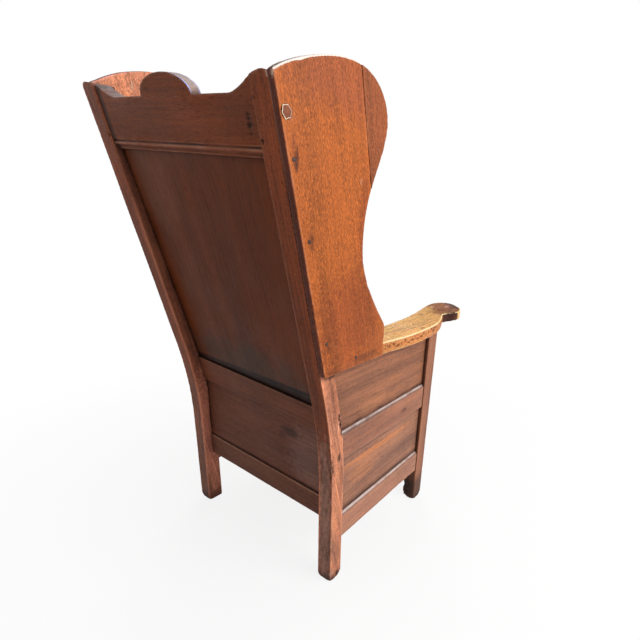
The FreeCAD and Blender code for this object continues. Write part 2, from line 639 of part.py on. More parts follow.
knob_height = (drawer_low + drawer_high) / 2.0
for side, name in ((1, "drawer_left_knob"), (-1, "drawer_right_knob")):
    foot = V(side * KNOB_SPREAD, drawer_face, knob_height)
    out = V(0, -1, 0)
    neck = Part.makeCylinder(KNOB_BASE_RADIUS, KNOB_STEM_LENGTH, foot, out)
    ball = Part.makeCylinder(KNOB_RADIUS, KNOB_LENGTH, foot + out * KNOB_STEM_LENGTH, out)
    ball = ball.makeFillet(KNOB_ROUND, [e for e in ball.Edges if len(e.Vertexes) == 1])
    stem = Part.makeCylinder(KNOB_STEM_RADIUS, DRAWER_FRONT_THICK, foot - out * DRAWER_FRONT_THICK, out)
    room = Part.makeCylinder(KNOB_STEM_RADIUS + FIT_GAP, DRAWER_FRONT_THICK,
                             foot - out * DRAWER_FRONT_THICK, out)
    solids[name] = neck.fuse(ball).fuse(stem).removeSplitter()
    let_in(room, ["drawer_front"])

for name, shape in solids.items():
    shape = shape.copy()
    shape.translate(V(0, MIDDLE_SHIFT, 0))
    shape.exportStep(os.path.join("parts", name + ".step"))
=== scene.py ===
import math
import bpy
import numpy as np
from mathutils import Matrix, Vector, noise


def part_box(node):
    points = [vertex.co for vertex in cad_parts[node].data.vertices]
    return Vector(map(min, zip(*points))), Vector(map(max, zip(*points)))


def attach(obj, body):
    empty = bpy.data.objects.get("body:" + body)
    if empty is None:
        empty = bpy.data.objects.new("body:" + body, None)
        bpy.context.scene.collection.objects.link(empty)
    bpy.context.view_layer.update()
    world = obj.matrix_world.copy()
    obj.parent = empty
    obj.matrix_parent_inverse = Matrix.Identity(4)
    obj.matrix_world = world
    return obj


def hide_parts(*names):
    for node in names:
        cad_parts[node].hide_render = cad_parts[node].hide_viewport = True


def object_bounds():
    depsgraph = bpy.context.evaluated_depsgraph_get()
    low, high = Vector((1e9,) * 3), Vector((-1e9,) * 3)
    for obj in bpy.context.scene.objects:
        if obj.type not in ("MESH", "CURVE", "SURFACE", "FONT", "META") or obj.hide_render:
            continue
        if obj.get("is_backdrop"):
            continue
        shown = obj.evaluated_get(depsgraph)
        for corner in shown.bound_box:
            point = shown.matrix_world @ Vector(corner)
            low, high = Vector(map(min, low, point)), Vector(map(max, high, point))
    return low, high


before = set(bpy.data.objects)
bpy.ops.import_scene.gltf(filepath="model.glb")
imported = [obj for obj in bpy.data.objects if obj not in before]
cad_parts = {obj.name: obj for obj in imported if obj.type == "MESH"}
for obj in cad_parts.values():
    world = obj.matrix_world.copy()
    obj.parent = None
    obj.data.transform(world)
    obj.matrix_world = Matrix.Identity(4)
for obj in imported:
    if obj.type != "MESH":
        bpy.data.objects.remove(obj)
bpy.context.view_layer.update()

# Rear posts: two oak planks sawn with a knee at seat height, upright below and raked above.
# Hand-planed, waxed, and worn on every arris, with chipped edges and rounded feet and tops.
SIDES = (("left", 1.0), ("right", -1.0))
UP = (0.0, 0.0, 1.0)
RAKE = math.radians(12.0)
RAKED = (RAKE, math.radians(90.0), 0.0)
RING_GAP = 0.012
WORM_HOLE_TONE = (26, 16, 12)
SHADE_AND_GRIME_TONE = (24, 15, 12)
RUBBED_DEPTH = 0.0007
MERGE_GAP = 0.00002


def paint(red, green, blue):
    """A colour as the eye reads it, 0 to 255, for a shader socket."""
    shades = []
    for value in (red, green, blue):
        part = value / 255.0
        shades.append(part / 12.92 if part <= 0.04045 else ((part + 0.055) / 1.055) ** 2.4)
    return (*shades, 1.0)


def tint(tone, red, green, blue):
    """A tone with its red, green and blue each made stronger or weaker."""
    return [value * share for value, share in zip(tone, (red, green, blue))]


def add(tree, kind, sockets=None, **settings):
    """A new shader node, with its settings made and its sockets set or linked."""
    made = tree.nodes.new(kind)
    for key, value in settings.items():
        setattr(made, key, value)
    for key, value in (sockets or {}).items():
        if isinstance(value, bpy.types.NodeSocket):
            tree.links.new(value, made.inputs[key])
        else:
            made.inputs[key].default_value = value
    return made


def level(tree, value, low, high, out_low=0.0, out_high=1.0):
    """A value spread from one range to another and held at its ends."""
    return add(tree, "ShaderNodeMapRange", {0: value, 1: low, 2: high, 3: out_low, 4: out_high}).outputs[0]


def reckon(tree, way, first, second):
    """Two values added, multiplied or the like."""
    return add(tree, "ShaderNodeMath", {0: first, 1: second}, operation=way).outputs[0]


def reckon_each(tree, way, first, second):
    """Two places, or two colours, added, multiplied or the like, part by part."""
    return add(tree, "ShaderNodeVectorMath", {0: first, 1: second}, operation=way).outputs[0]


def measure_along(tree, place, way):
    """How far a place lies along a way, or how squarely a face looks that way."""
    return add(tree, "ShaderNodeVectorMath", {0: place, 1: way}, operation="DOT_PRODUCT").outputs[1]


def over(tree, share, under, top):
    """One colour laid over another."""
    return add(tree, "ShaderNodeMix", {0: share, 6: under, 7: top}, data_type="RGBA").outputs[2]


def cloud(tree, place, scale, detail=3.0, rough=0.55):
    """Soft cloudy shading, with its number of clouds to the metre."""
    return add(tree, "ShaderNodeTexNoise",
               {"Vector": place, "Scale": scale, "Detail": detail, "Roughness": rough}).outputs[0]


def drawn_cloud(tree, fibre, drawn, detail, rough=0.55):
    """Cloudy shading drawn out along the grain."""
    return cloud(tree, reckon_each(tree, "MULTIPLY", fibre, drawn), 1.0, detail, rough)


def old_oak(name, grain, tone, worn, seed, spread=0.14, streak=1.25, pores=0.5, rings=0.08, fleck=0.0, gloss=0.46,
            shine=0.1, dust_and_sheen=0.25, wear=0.8, shade_and_dirt=0.7, patch=0.4, worm=0.3, shakes=0.45, speck=0.2,
            dust_and_sheen_tone=(176, 156, 142), turns=(), marks=(), bands=()):
    """Old waxed oak: streaks and pores along the grain, worn arrises, dirt and painted shade in the corners, marks in
    their places.

    turns gives the faces that look one way their own tone, on some pieces a painted light. marks are stains, scuffs and
    a few painted shadows, by place, reach and shade.
    bands are stretches of one shade, each held between limits along given ways, or to faces that look that way; some
    are painted highlights and painted shadows.
    """
    material = bpy.data.materials.new(name)
    material.use_nodes = True
    tree = material.node_tree
    shader = tree.nodes["Principled BSDF"]
    spot = add(tree, "ShaderNodeTexCoord").outputs["Object"]
    looks = add(tree, "ShaderNodeNewGeometry").outputs["Normal"]

    # The fibres sway a little along the board. Streaks, pores and year rings follow them.
    shift = (3.1 * seed, 1.7 * seed, 2.3 * seed)
    board = add(tree, "ShaderNodeMapping", {"Vector": spot, "Location": shift, "Rotation": grain}).outputs[0]
    sway = add(tree, "ShaderNodeTexNoise", {"Vector": board, "Scale": 3.2, "Detail": 2.0}).outputs["Color"]
    sway = reckon_each(tree, "SUBTRACT", sway, (0.5, 0.5, 0.5))
    sway = reckon_each(tree, "MULTIPLY", sway, (0.0, 0.014, 0.014))
    fibre = reckon_each(tree, "ADD", board, sway)
    broad = drawn_cloud(tree, fibre, (1.1, 17.0, 17.0), 5.0, 0.6)
    fine = drawn_cloud(tree, fibre, (6.0, 220.0, 220.0), 4.0, 0.62)
    pore = level(tree, drawn_cloud(tree, fibre, (62.0, 520.0, 520.0), 1.0), 0.55, 0.72)
    grit = cloud(tree, spot, 300.0, 3.0, 0.7)
    heart = add(tree, "ShaderNodeMapping", {"Vector": fibre, "Location": (0.0, 0.11, 0.19),
                                            "Rotation": (0.0, 0.05, 0.08)}).outputs[0]
    ring = add(tree, "ShaderNodeTexWave", {"Vector": heart, "Scale": 0.314 / RING_GAP, "Distortion": 3.5,
                                           "Detail": 3.0, "Detail Scale": 1.4, "Detail Roughness": 0.6},
               wave_type="RINGS", rings_direction="X").outputs["Fac"]
    mixed = level(tree, broad, 0.28, 0.72)
    mixed = reckon(tree, "ADD", mixed, level(tree, fine, 0.3, 0.7, -0.22 * streak, 0.22 * streak))
    mixed = reckon(tree, "ADD", mixed, level(tree, ring, 0.0, 1.0, -rings, rings))
    mixed = reckon(tree, "ADD", mixed, level(tree, cloud(tree, spot, 380.0, 3.0, 0.7), 0.3, 0.7, -0.26, 0.26))

    # The ground colour goes from dark through the tone to light, with darker and lighter patches.
    dark = tint(tone, 1.0 - 1.4 * spread, 1.0 - 1.3 * spread, 1.0 - 1.05 * spread)
    light = tint(tone, 1.0 + 1.15 * spread, 1.0 + 0.95 * spread, 1.0 + 0.5 * spread)
    light = [min(255.0, value) for value in light]
    ramp = add(tree, "ShaderNodeValToRGB", {0: mixed})
    steps = ramp.color_ramp.elements
    steps[0].position = 0.0
    steps[0].color = paint(*dark)
    steps[1].position = 1.0
    steps[1].color = paint(*light)
    steps.new(0.5).color = paint(*tone)
    colour = ramp.outputs[0]
    blot = level(tree, cloud(tree, board, 5.5, 4.0, 0.6), 0.45, 0.75, 0.0, patch)
    colour = over(tree, blot, colour, paint(*tint(dark, 0.78, 0.78, 0.78)))
    glow = level(tree, cloud(tree, spot, 3.1, 3.0, 0.5), 0.5, 0.75, 0.0, patch * 0.7)
    colour = over(tree, glow, colour, paint(*light))

    # Rays of quarter-sawn oak, pores, specks, and fine cracks along the grain.
    if fleck:
        ray = drawn_cloud(tree, fibre, (170.0, 760.0, 760.0), 2.0, 0.6)
        colour = over(tree, level(tree, ray, 0.52, 0.7, 0.0, fleck), colour, paint(*tint(light, 1.12, 1.12, 1.12)))
        colour = over(tree, level(tree, ray, 0.47, 0.3, 0.0, fleck), colour, paint(*tint(dark, 0.86, 0.78, 0.70)))
    deep_tone = tint(dark, 0.68, 0.54, 0.46)
    pale_tone = [min(255.0, 1.1 * value) for value in light]
    colour = over(tree, reckon(tree, "MULTIPLY", pore, pores), colour, paint(*deep_tone))
    colour = over(tree, level(tree, grit, 0.55, 0.66, 0.0, speck), colour, paint(*deep_tone))
    colour = over(tree, level(tree, grit, 0.45, 0.34, 0.0, speck), colour, paint(*pale_tone))
    shake = level(tree, drawn_cloud(tree, fibre, (3.0, 190.0, 190.0), 3.0), 0.68, 0.73, 0.0, shakes)
    colour = over(tree, shake, colour, paint(*tint(dark, 0.45, 0.45, 0.45)))

    # A few worm holes, and arrises rubbed through to paler wood.
    bore = add(tree, "ShaderNodeTexVoronoi", {"Vector": spot, "Scale": 33.0}, feature="F1")
    hole = level(tree, bore.outputs["Distance"], 0.035, 0.05, 1.0, 0.0)
    chance = add(tree, "ShaderNodeSeparateColor", {0: bore.outputs["Color"]}).outputs[0]
    bored_from = 1.0 - 0.35 * worm
    hole = reckon(tree, "MULTIPLY", hole, level(tree, chance, bored_from, bored_from + 0.01))
    colour = over(tree, hole, colour, paint(*WORM_HOLE_TONE))
    rub = level(tree, add(tree, "ShaderNodeAttribute", attribute_name="rub").outputs["Fac"], 0.1, 0.7)
    rub = reckon(tree, "MULTIPLY", rub, level(tree, cloud(tree, spot, 21.0, 5.0, 0.65), 0.36, 0.62))
    colour = over(tree, reckon(tree, "MULTIPLY", rub, wear), colour, paint(*worn))

    # Faces with a tone of their own, then marks that let the figure of the wood show, then bands; some of each are
    # painted light and shade.
    for way, shade, begin, full in turns:
        lift = [new / old for new, old in zip(paint(*shade)[:3], paint(*tone))]
        shifted = reckon_each(tree, "MULTIPLY", colour, lift)
        colour = over(tree, level(tree, measure_along(tree, looks, way), begin, full), colour, shifted)
    figure = level(tree, mixed, 0.0, 1.0, max(0.2, 1.0 - 2.2 * spread), 1.0 + 2.0 * spread)
    figure = reckon(tree, "MULTIPLY", figure, level(tree, pore, 0.0, 1.0, 1.0, 1.0 - 0.6 * pores))
    specks = level(tree, grit, 0.34, 0.66, 1.0 + 0.5 * speck, 1.0 - 0.5 * speck)
    figure = reckon(tree, "MULTIPLY", figure, specks)
    if fleck:
        flecks = level(tree, ray, 0.3, 0.7, 1.0 - 0.5 * fleck, 1.0 + 0.5 * fleck)
        figure = reckon(tree, "MULTIPLY", figure, flecks)
    for place, reach, shade, strength in marks:
        near = reckon_each(tree, "DIVIDE", reckon_each(tree, "SUBTRACT", spot, place), reach)
        near = add(tree, "ShaderNodeVectorMath", {0: near}, operation="LENGTH").outputs[1]
        ragged = cloud(tree, spot, max(14.0, 1.2 / min(reach)), 5.0, 0.6)
        near = reckon(tree, "ADD", near, level(tree, ragged, 0.2, 0.8, -0.45, 0.45))
        mark_paint = add(tree, "ShaderNodeVectorMath", {0: paint(*shade)[:3], "Scale": figure}, operation="SCALE").outputs[0]
        colour = over(tree, level(tree, near, 0.45, 1.05, strength, 0.0), colour, mark_paint)
    for limits, shade, strength in bands:
        thin_share = 0.8 if strength > 0.88 else 0.3
        held = level(tree, cloud(tree, spot, 17.0, 6.0, 0.7), 0.38, 0.6, thin_share * strength, strength)
        for way, begin, full, *facing in limits:
            along = measure_along(tree, looks if facing else spot, way)
            held = reckon(tree, "MULTIPLY", held, level(tree, along, begin, full))
        colour = over(tree, held, colour, paint(*shade))

    # Dust and a painted pale sheen on faces that look up, and dirt with painted shade in the corners.
    upward = add(tree, "ShaderNodeSeparateXYZ", {0: looks}).outputs[2]
    dust_and_sheen_share = level(tree, cloud(tree, spot, 34.0, 5.0), 0.3, 0.7)
    dust_and_sheen_share = reckon(tree, "MULTIPLY", level(tree, upward, 0.45, 0.95), dust_and_sheen_share)
    colour = over(tree, reckon(tree, "MULTIPLY", dust_and_sheen_share, dust_and_sheen), colour, paint(*dust_and_sheen_tone))
    # Painted shade: ambient occlusion darkens corners, recesses and gaps between parts, along with dirt.
    closed = add(tree, "ShaderNodeAmbientOcclusion", {"Distance": 0.035}, samples=6).outputs["AO"]
    shade_and_grime = level(tree, cloud(tree, spot, 26.0, 5.0), 0.25, 0.6, 0.45, 1.0)
    shade_and_grime = reckon(tree, "MULTIPLY", level(tree, closed, 0.88, 0.35), shade_and_grime)
    colour = over(tree, reckon(tree, "MULTIPLY", shade_and_grime, shade_and_dirt), colour, paint(*SHADE_AND_GRIME_TONE))
    tree.links.new(colour, shader.inputs["Base Color"])

    # The wax is duller in the pores and in the dirty, shaded corners. Plane marks and open grain stand in low relief.
    sheen = level(tree, cloud(tree, spot, 11.0, 5.0, 0.6), 0.3, 0.7, gloss - 0.08, gloss + 0.1)
    sheen = reckon(tree, "ADD", sheen, reckon(tree, "MULTIPLY", pore, 0.08))
    sheen = reckon(tree, "ADD", sheen, reckon(tree, "MULTIPLY", shade_and_grime, 0.2))
    tree.links.new(sheen, shader.inputs["Roughness"])
    shader.inputs["Specular IOR Level"].default_value = shine
    wave = drawn_cloud(tree, board, (9.0, 26.0, 26.0), 2.0)
    swell = add(tree, "ShaderNodeBump", {"Strength": 0.5, "Distance": 0.0016, "Height": wave}).outputs[0]
    relief = reckon(tree, "MULTIPLY", fine, 0.8)
    relief = reckon(tree, "SUBTRACT", relief, reckon(tree, "MULTIPLY", pore, 0.7 * pores))
    relief = reckon(tree, "SUBTRACT", relief, reckon(tree, "MULTIPLY", hole, 2.0))
    rough = add(tree, "ShaderNodeBump", {"Strength": 0.45, "Distance": 0.0006, "Height": relief, "Normal": swell})
    tree.links.new(rough.outputs[0], shader.inputs["Normal"])
    return material


def work_over(piece, kind, **settings):
    """Puts a modifier on a piece, sets it and applies it."""
    made = piece.modifiers.new(kind, kind)
    for key, value in settings.items():
        setattr(made, key, value)
    bpy.ops.object.modifier_apply(modifier=made.name)


def read_rows(items, field, width, kind):
    """One field of every corner or edge of a mesh, a row for each."""
    values = np.empty(len(items) * width, kind)
    items.foreach_get(field, values)
    return values.reshape(-1, width)


def hand_work(node, name, grid, rounds=4, chipped=0.002, uneven=0.00025, seed=0.0, deep=(), bed=None):
    """A copy of a CAD piece in fine mesh: arrises rounded, rubbed and chipped, faces a little uneven, deep spots worn.

    bed gives a place, a way up, a reach and a depth: the foot of the piece is pressed that deep into what carries it.
    """
    bpy.ops.object.select_all(action="DESELECT")
    piece = bpy.data.objects.new(name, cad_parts[node].data.copy())
    bpy.context.scene.collection.objects.link(piece)
    piece.data.materials.clear()
    piece.select_set(True)
    bpy.context.view_layer.objects.active = piece
    bpy.ops.mesh.customdata_custom_splitnormals_clear()
    bpy.ops.object.mode_set(mode="EDIT")
    bpy.ops.mesh.select_all(action="SELECT")
    bpy.ops.mesh.remove_doubles(threshold=MERGE_GAP)
    bpy.ops.object.mode_set(mode="OBJECT")
    work_over(piece, "REMESH", mode="VOXEL", voxel_size=grid)
    work_over(piece, "SHRINKWRAP", target=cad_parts[node])
    work_over(piece, "SMOOTH", factor=0.5, iterations=rounds)

    mesh = piece.data
    count = len(mesh.vertices)
    spots = read_rows(mesh.vertices, "co", 3, np.float32).astype(float)
    outward = read_rows(mesh.vertex_normals, "vector", 3, np.float32).astype(float)
    pairs = read_rows(mesh.edges, "vertices", 2, np.int32)
    joined = np.bincount(pairs.ravel(), minlength=count).clip(1)

    def spread_out(values):
        """The mean of each corner's neighbours."""
        first, second = pairs[:, 0], pairs[:, 1]
        total = np.bincount(first, values[second], count) + np.bincount(second, values[first], count)
        return total / joined

    # How sharply the surface turns at each corner of the mesh: 0 on a flat face, 1 on an arris.
    inward = np.stack([spread_out(spots[:, i]) for i in range(3)], 1) - spots
    arris = np.clip(-(inward * outward).sum(1) / grid * 5.0, 0.0, 1.0)
    for _ in range(3):
        arris = 0.5 * arris + 0.5 * spread_out(arris)
    arris = np.clip(arris * 1.6, 0.0, 1.0)

    # How deep each corner is worn: rubbing and nicks on the arrises, slow waves on the faces, and deep spots.
    sunk = np.zeros(count)
    for i in np.nonzero(arris > 0.06)[0]:
        place = Vector(spots[i])
        wander = 0.5 + 0.5 * noise.noise(place * 17.0 + Vector((seed, 0.0, 0.0)))
        nick = max(0.0, noise.noise(place * 55.0 + Vector((0.0, seed, 0.0))) - 0.22)
        sunk[i] = arris[i] * (RUBBED_DEPTH * wander + chipped * nick)
    ways = np.array([[31.0, 12.0, 7.0], [-9.0, 37.0, 11.0], [6.0, -14.0, 33.0], [17.0, 21.0, -25.0]])
    sunk += uneven * np.sin(spots @ ways.T + seed).mean(1)
    for place, reach, depth in deep:
        near = np.clip(1.0 - np.linalg.norm(spots - np.array(place), axis=1) / reach, 0.0, 1.0)
        sunk += depth * near * near * (3.0 - 2.0 * near)
    spots -= outward * sunk[:, None]
    if bed:
        place, way, reach, depth = bed
        height = (spots - np.array(place)) @ np.array(way)
        spots -= np.array(way) * (depth * np.clip(1.0 - height / reach, 0.0, 1.0))[:, None]
    mesh.vertices.foreach_set("co", spots.astype(np.float32).ravel())
    rub = mesh.attributes.new("rub", "FLOAT", "POINT")
    rub.data.foreach_set("value", arris.astype(np.float32))
    mesh.update()
    bpy.ops.object.shade_smooth()
    return piece


def lay_finish(piece, material, slot, body, *nodes):
    """Gives a finished piece its oak and puts it in its node's place."""
    piece.data.materials.append(material)
    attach(piece, body)
    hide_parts(*nodes)


POST_TONES = {"left": (128, 67, 42), "right": (116, 59, 35)}
INNER_POST_TONES = {"left": (124, 75, 58), "right": (96, 56, 42)}
LOW_POST_TONES = {"left": (110, 74, 60), "right": (146, 108, 93)}
LOW_INNER_TONES = {"left": (200, 128, 106), "right": (196, 122, 92)}
INNER_ARRIS_SHARE = {"left": 0.7, "right": 0.2}
for side, out in SIDES:
    outer = out * 0.30
    inner = out * 0.252
    # Painted light: the outer face is painted lighter than the back; the inner face takes a tone of its own.
    turns = (
        ((out, 0.0, 0.0), (182, 119, 91), 0.3, 0.85),
        ((-out, 0.0, 0.0), INNER_POST_TONES[side], 0.45, 0.8))
    marks = (
        # Paler wood below the knee on the back, and painted light on the lower inner face.
        ((out * 0.276, 0.243, 0.16), (0.03, 0.018, 0.41), LOW_POST_TONES[side], 0.8),
        ((inner, 0.22, 0.22), (0.01, 0.05, 0.32), LOW_INNER_TONES[side], 0.8),
        ((out * 0.254, 0.235, 0.05), (0.006, 0.010, 0.09), (104, 76, 64), 0.6),
        # Rubbed and dirty stretches of the outer face, and a painted shadow line under the wing.
        ((out * 0.305, 0.222, 0.30), (0.012, 0.012, 0.22), (204, 130, 90), 0.4),
        ((out * 0.305, 0.225, 0.60), (0.012, 0.05, 0.13), (134, 82, 60), 0.8),
        ((out * 0.302, 0.23, 0.644), (0.012, 0.06, 0.012), (62, 38, 30), 0.85),
        ((out * 0.305, 0.206, 0.33), (0.012, 0.010, 0.09), (132, 82, 60), 0.6),
        ((out * 0.305, 0.214, 0.10), (0.012, 0.020, 0.08), (142, 94, 74), 0.6),
        ((out * 0.305, 0.232, 0.21), (0.012, 0.006, 0.07), (208, 142, 108), 0.4),
        ((out * 0.299, 0.40, 1.194), (0.004, 0.008, 0.008), (196, 178, 164), 0.5),
        # The slot worn at the knee: three hollows with painted shade in them, and a pale edge.
        ((outer, 0.2195, 0.521), (0.010, 0.0042, 0.015), (36, 22, 17), 0.95),
        ((outer, 0.2145, 0.500), (0.010, 0.0046, 0.018), (34, 20, 16), 0.95),
        ((outer, 0.2095, 0.476), (0.010, 0.0044, 0.017), (36, 22, 17), 0.95),
        ((out * 0.302, 0.2212, 0.492), (0.010, 0.003, 0.022), (216, 162, 134), 0.6),
        # Dents and chipped places below the slot.
        ((outer, 0.2155, 0.404), (0.010, 0.006, 0.016), (46, 29, 22), 0.85),
        ((outer, 0.2415, 0.40), (0.007, 0.007, 0.012), (62, 36, 26), 0.7),
        ((out * 0.296, 0.24, 0.352), (0.007, 0.006, 0.010), (58, 34, 25), 0.7),
        ((out * 0.302, 0.237, 0.372), (0.012, 0.010, 0.024), (112, 80, 68), 0.9),
        ((out * 0.302, 0.224, 0.362), (0.012, 0.004, 0.03), (224, 150, 112), 0.6),
        # The foot, dark from the floor, with a scuff and a dent.
        ((out * 0.28, 0.222, 0.0), (0.06, 0.05, 0.045), (84, 56, 46), 0.8),
        ((out * 0.298, 0.232, 0.028), (0.010, 0.010, 0.016), (190, 142, 122), 0.6),
        ((out * 0.302, 0.212, 0.014), (0.010, 0.008, 0.010), (46, 30, 25), 0.8))
    # A painted shadow line on the post where the wing meets it.
    wing_joint_shadow = (((out, 0.0, 0.0), 0.2955, 0.2985), (UP, 0.63, 0.66), (UP, 1.16, 1.02))
    inner_arris = (((-out, 0.0, 0.0), -0.262, -0.2565), ((-out, 0.0, 0.0), -0.2515, -0.2535), (UP, 1.05, 0.9))
    post_oak = old_oak(
        side + "_rear_post_oak", RAKED, POST_TONES[side], (154, 88, 56), 1.0 + out * 0.3, spread=0.26, wear=0.7,
        pores=0.6, speck=0.36, patch=0.3, dust_and_sheen=0.6, dust_and_sheen_tone=(196, 182, 174), turns=turns, marks=marks,
        bands=((wing_joint_shadow, (30, 16, 12), 0.95), (inner_arris, (190, 116, 86), INNER_ARRIS_SHARE[side])))
    chips = () if side == "left" else (
        ((outer, 0.24, 0.445), 0.016, 0.004), ((outer, 0.239, 0.405), 0.012, 0.003),
        ((outer, 0.239, 0.372), 0.026, 0.009), ((outer, 0.239, 0.33), 0.014, 0.004),
        ((outer, 0.239, 0.25), 0.020, 0.0025), ((outer, 0.239, 0.11), 0.024, 0.003))
    foot_corners = (
        ((outer, 0.239, 0.0), 0.014, 0.0025), ((inner, 0.239, 0.0), 0.012, 0.002), ((outer, 0.195, 0.0), 0.016, 0.004))
    slot_hollows = (
        ((outer, 0.219, 0.515), 0.008, 0.0022), ((outer, 0.2155, 0.50), 0.008, 0.0026),
        ((outer, 0.212, 0.484), 0.008, 0.0026), ((outer, 0.2085, 0.468), 0.008, 0.002))
    post = hand_work(side + "_rear_post", "worn_" + side + "_rear_post", 0.0024, rounds=6, chipped=0.001,
                     seed=2.0 + out, deep=chips + foot_corners + slot_hollows)
    lay_finish(post, post_oak, "frame_oak", "chair", side + "_rear_post")

# Front posts: straight oak squares that stand under the arms, tenoned up into them.
# Same make and wear as the rear posts, their feet worn round.
UPRIGHT = (0.0, math.radians(90.0), 0.0)
for side, out in SIDES:
    outer = out * 0.30
    inner = out * 0.252
    front_post_oak = old_oak(
        side + "_front_post_oak", UPRIGHT, (140, 93, 72), (176, 116, 84), 2.0 + out * 0.2,
        turns=(((0.0, 1.0, 0.0), (104, 68, 54), 0.4, 0.8),), marks=(
            ((out * 0.276, -0.20, 0.02), (0.07, 0.06, 0.10), (66, 45, 36), 0.8),
            ((out * 0.262, -0.186, 0.05), (0.03, 0.02, 0.06), (34, 24, 20), 0.7)))
    foot_wear = (
        ((outer, -0.231, 0.0), 0.016, 0.004), ((outer, -0.183, 0.0), 0.016, 0.004),
        ((inner, -0.183, 0.0), 0.024, 0.007), ((inner, -0.231, 0.0), 0.014, 0.003),
        ((out * 0.256, -0.183, 0.05), 0.016, 0.004), ((out * 0.27, -0.183, 0.03), 0.012, 0.003))
    post = hand_work(side + "_front_post", "worn_" + side + "_front_post", 0.0024, seed=5.0 + out, deep=foot_wear)
    lay_finish(post, front_post_oak, "frame_oak", "chair", side + "_front_post")

# Rails of the back: bottom rail, and the middle rail that lies on the rake under the tall panel.
# Oak, tenoned into the posts, their upper arrises rubbed pale.
ACROSS = (0.0, 0.0, 0.0)
back_rail_oaks = {
    "back_bottom_rail": old_oak("back_bottom_rail_oak", ACROSS, (106, 64, 48), (160, 106, 80), 3.0, bands=(
        (((UP, 0.2485, 0.2505),), (168, 124, 102), 0.6),)),
    "back_mid_rail": old_oak("back_mid_rail_oak", ACROSS, (108, 60, 41), (150, 100, 76), 3.4, wear=0.5, bands=(
        (((UP, 0.5235, 0.5255),), (140, 98, 80), 0.25),))}
for node, rail_oak in back_rail_oaks.items():
    rail = hand_work(node, "worn_" + node, 0.002, seed=7.0)
    lay_finish(rail, rail_oak, "frame_oak", "chair", node)

# Lower panel of the back: one level-grained oak board let into grooves all round.
# It is dark, a little hollow from drying, and smeared with old polish near the middle rail.
lower_panel_oak = old_oak("lower_panel_oak", ACROSS, (102, 60, 45), (140, 90, 66), 4.0, spread=0.12, marks=(
    ((-0.19, 0.212, 0.35), (0.09, 0.02, 0.13), (120, 88, 77), 0.65),
    ((-0.115, 0.212, 0.403), (0.045, 0.02, 0.018), (46, 30, 27), 0.7),
    ((-0.085, 0.212, 0.383), (0.018, 0.02, 0.012), (50, 34, 30), 0.5)), bands=(
    # A painted shadow along the foot of the panel, above the bottom rail.
    (((UP, 0.262, 0.256),), (34, 21, 17), 0.8),))
low_board = hand_work("back_lower_panel", "dried_back_lower_panel", 0.0042, uneven=0.0006, seed=41.0)
lay_finish(low_board, lower_panel_oak, "panel_oak", "chair", "back_lower_panel")

# Tall back panel: a wide upright oak board planed thin, let into grooves and left free to move.
# Stained almost black-brown and waxed smooth, it is a little cupped between the posts.
tall_panel_oak = old_oak(
    "tall_panel_oak", RAKED, (95, 45, 20), (130, 82, 60), 5.0, spread=0.12, gloss=0.4, patch=0.3, shakes=0.3,
    speck=0.08, marks=(
        ((0.19, 0.34, 1.0), (0.11, 0.06, 0.14), (112, 64, 43), 0.5),
        ((0.0, 0.30, 0.82), (0.2, 0.06, 0.22), (90, 41, 19), 0.5),
        ((0.0, 0.24, 0.57), (0.3, 0.04, 0.09), (70, 50, 40), 0.7)), bands=(
        # A painted shadow along the foot of the panel above the middle rail, deeper towards the chair's right.
        ((((0.038, 0.0, 1.0), 0.5565, 0.5515),), (24, 14, 14), 0.95),))
tall_board = hand_work("back_panel", "dried_back_panel", 0.0046, uneven=0.0008, seed=43.0)
lay_finish(tall_board, tall_panel_oak, "panel_oak", "chair", "back_panel")

# Crest rail: a deep oak rail with scrolled ends, worked with a bead and fillet on its lower edge.
# Its round lobe is a separate piece glued on the middle. A row of small tool dents marks one end.
UP_SLOPE = (0.0, math.sin(RAKE), math.cos(RAKE))
CREST_FOOT = Vector((0.0, 0.3646, 1.075)).dot(Vector(UP_SLOPE))
LOBE_FOOT = (0.0, 0.3916, 1.17173)
TOOL_DENTS = ((-0.2319, 0.3851, 1.1414), (-0.2311, 0.3837, 1.1346), (-0.2314, 0.382, 1.1267),
              (-0.2294, 0.3812, 1.1229), (-0.2311, 0.379, 1.1125))


def moulding_line(height, half):
    """Limits of a thin level line on the raked face of the crest, by its height up the slope."""
    return ((UP_SLOPE, height - half, height - 0.4 * half), (UP_SLOPE, height + half, height + 0.4 * half))


dent_marks = []
for i, dent in enumerate(TOOL_DENTS):
    from_middle = abs(i - 2)
    dent_reach = (0.0092 - 0.0016 * (i % 2), 0.006, 0.0034 - 0.0005 * from_middle)
    dent_marks.append((dent, dent_reach, (38, 23, 18), 0.9 - 0.14 * from_middle))
crest_oak = old_oak(
    "crest_oak", ACROSS, (116, 57, 28), (150, 100, 78), 6.0, spread=0.15, speck=0.3, dust_and_sheen=0.8,
    dust_and_sheen_tone=(186, 176, 176), marks=(
        ((-0.231, 0.383, 1.129), (0.012, 0.008, 0.020), (66, 38, 29), 0.5),
        ((-0.21, 0.385, 1.15), (0.06, 0.02, 0.06), (98, 50, 30), 0.6),
        ((-0.05, 0.385, 1.13), (0.07, 0.01, 0.04), (128, 66, 42), 0.5), *dent_marks), bands=(
        ((((1.0, 0.0, 0.0), 0.2335, 0.2375),), (56, 34, 27), 0.92),
        # Painted shade in the quirk and under the moulding, and a painted highlight on the bead.
        (moulding_line(CREST_FOOT + 0.0178, 0.0022), (34, 19, 15), 0.85),
        (moulding_line(CREST_FOOT + 0.0142, 0.0028), (164, 108, 84), 0.6),
        (moulding_line(CREST_FOOT + 0.0070, 0.0022), (48, 27, 20), 0.7),
        (moulding_line(CREST_FOOT + 0.0006, 0.0026), (38, 22, 17), 0.8)))
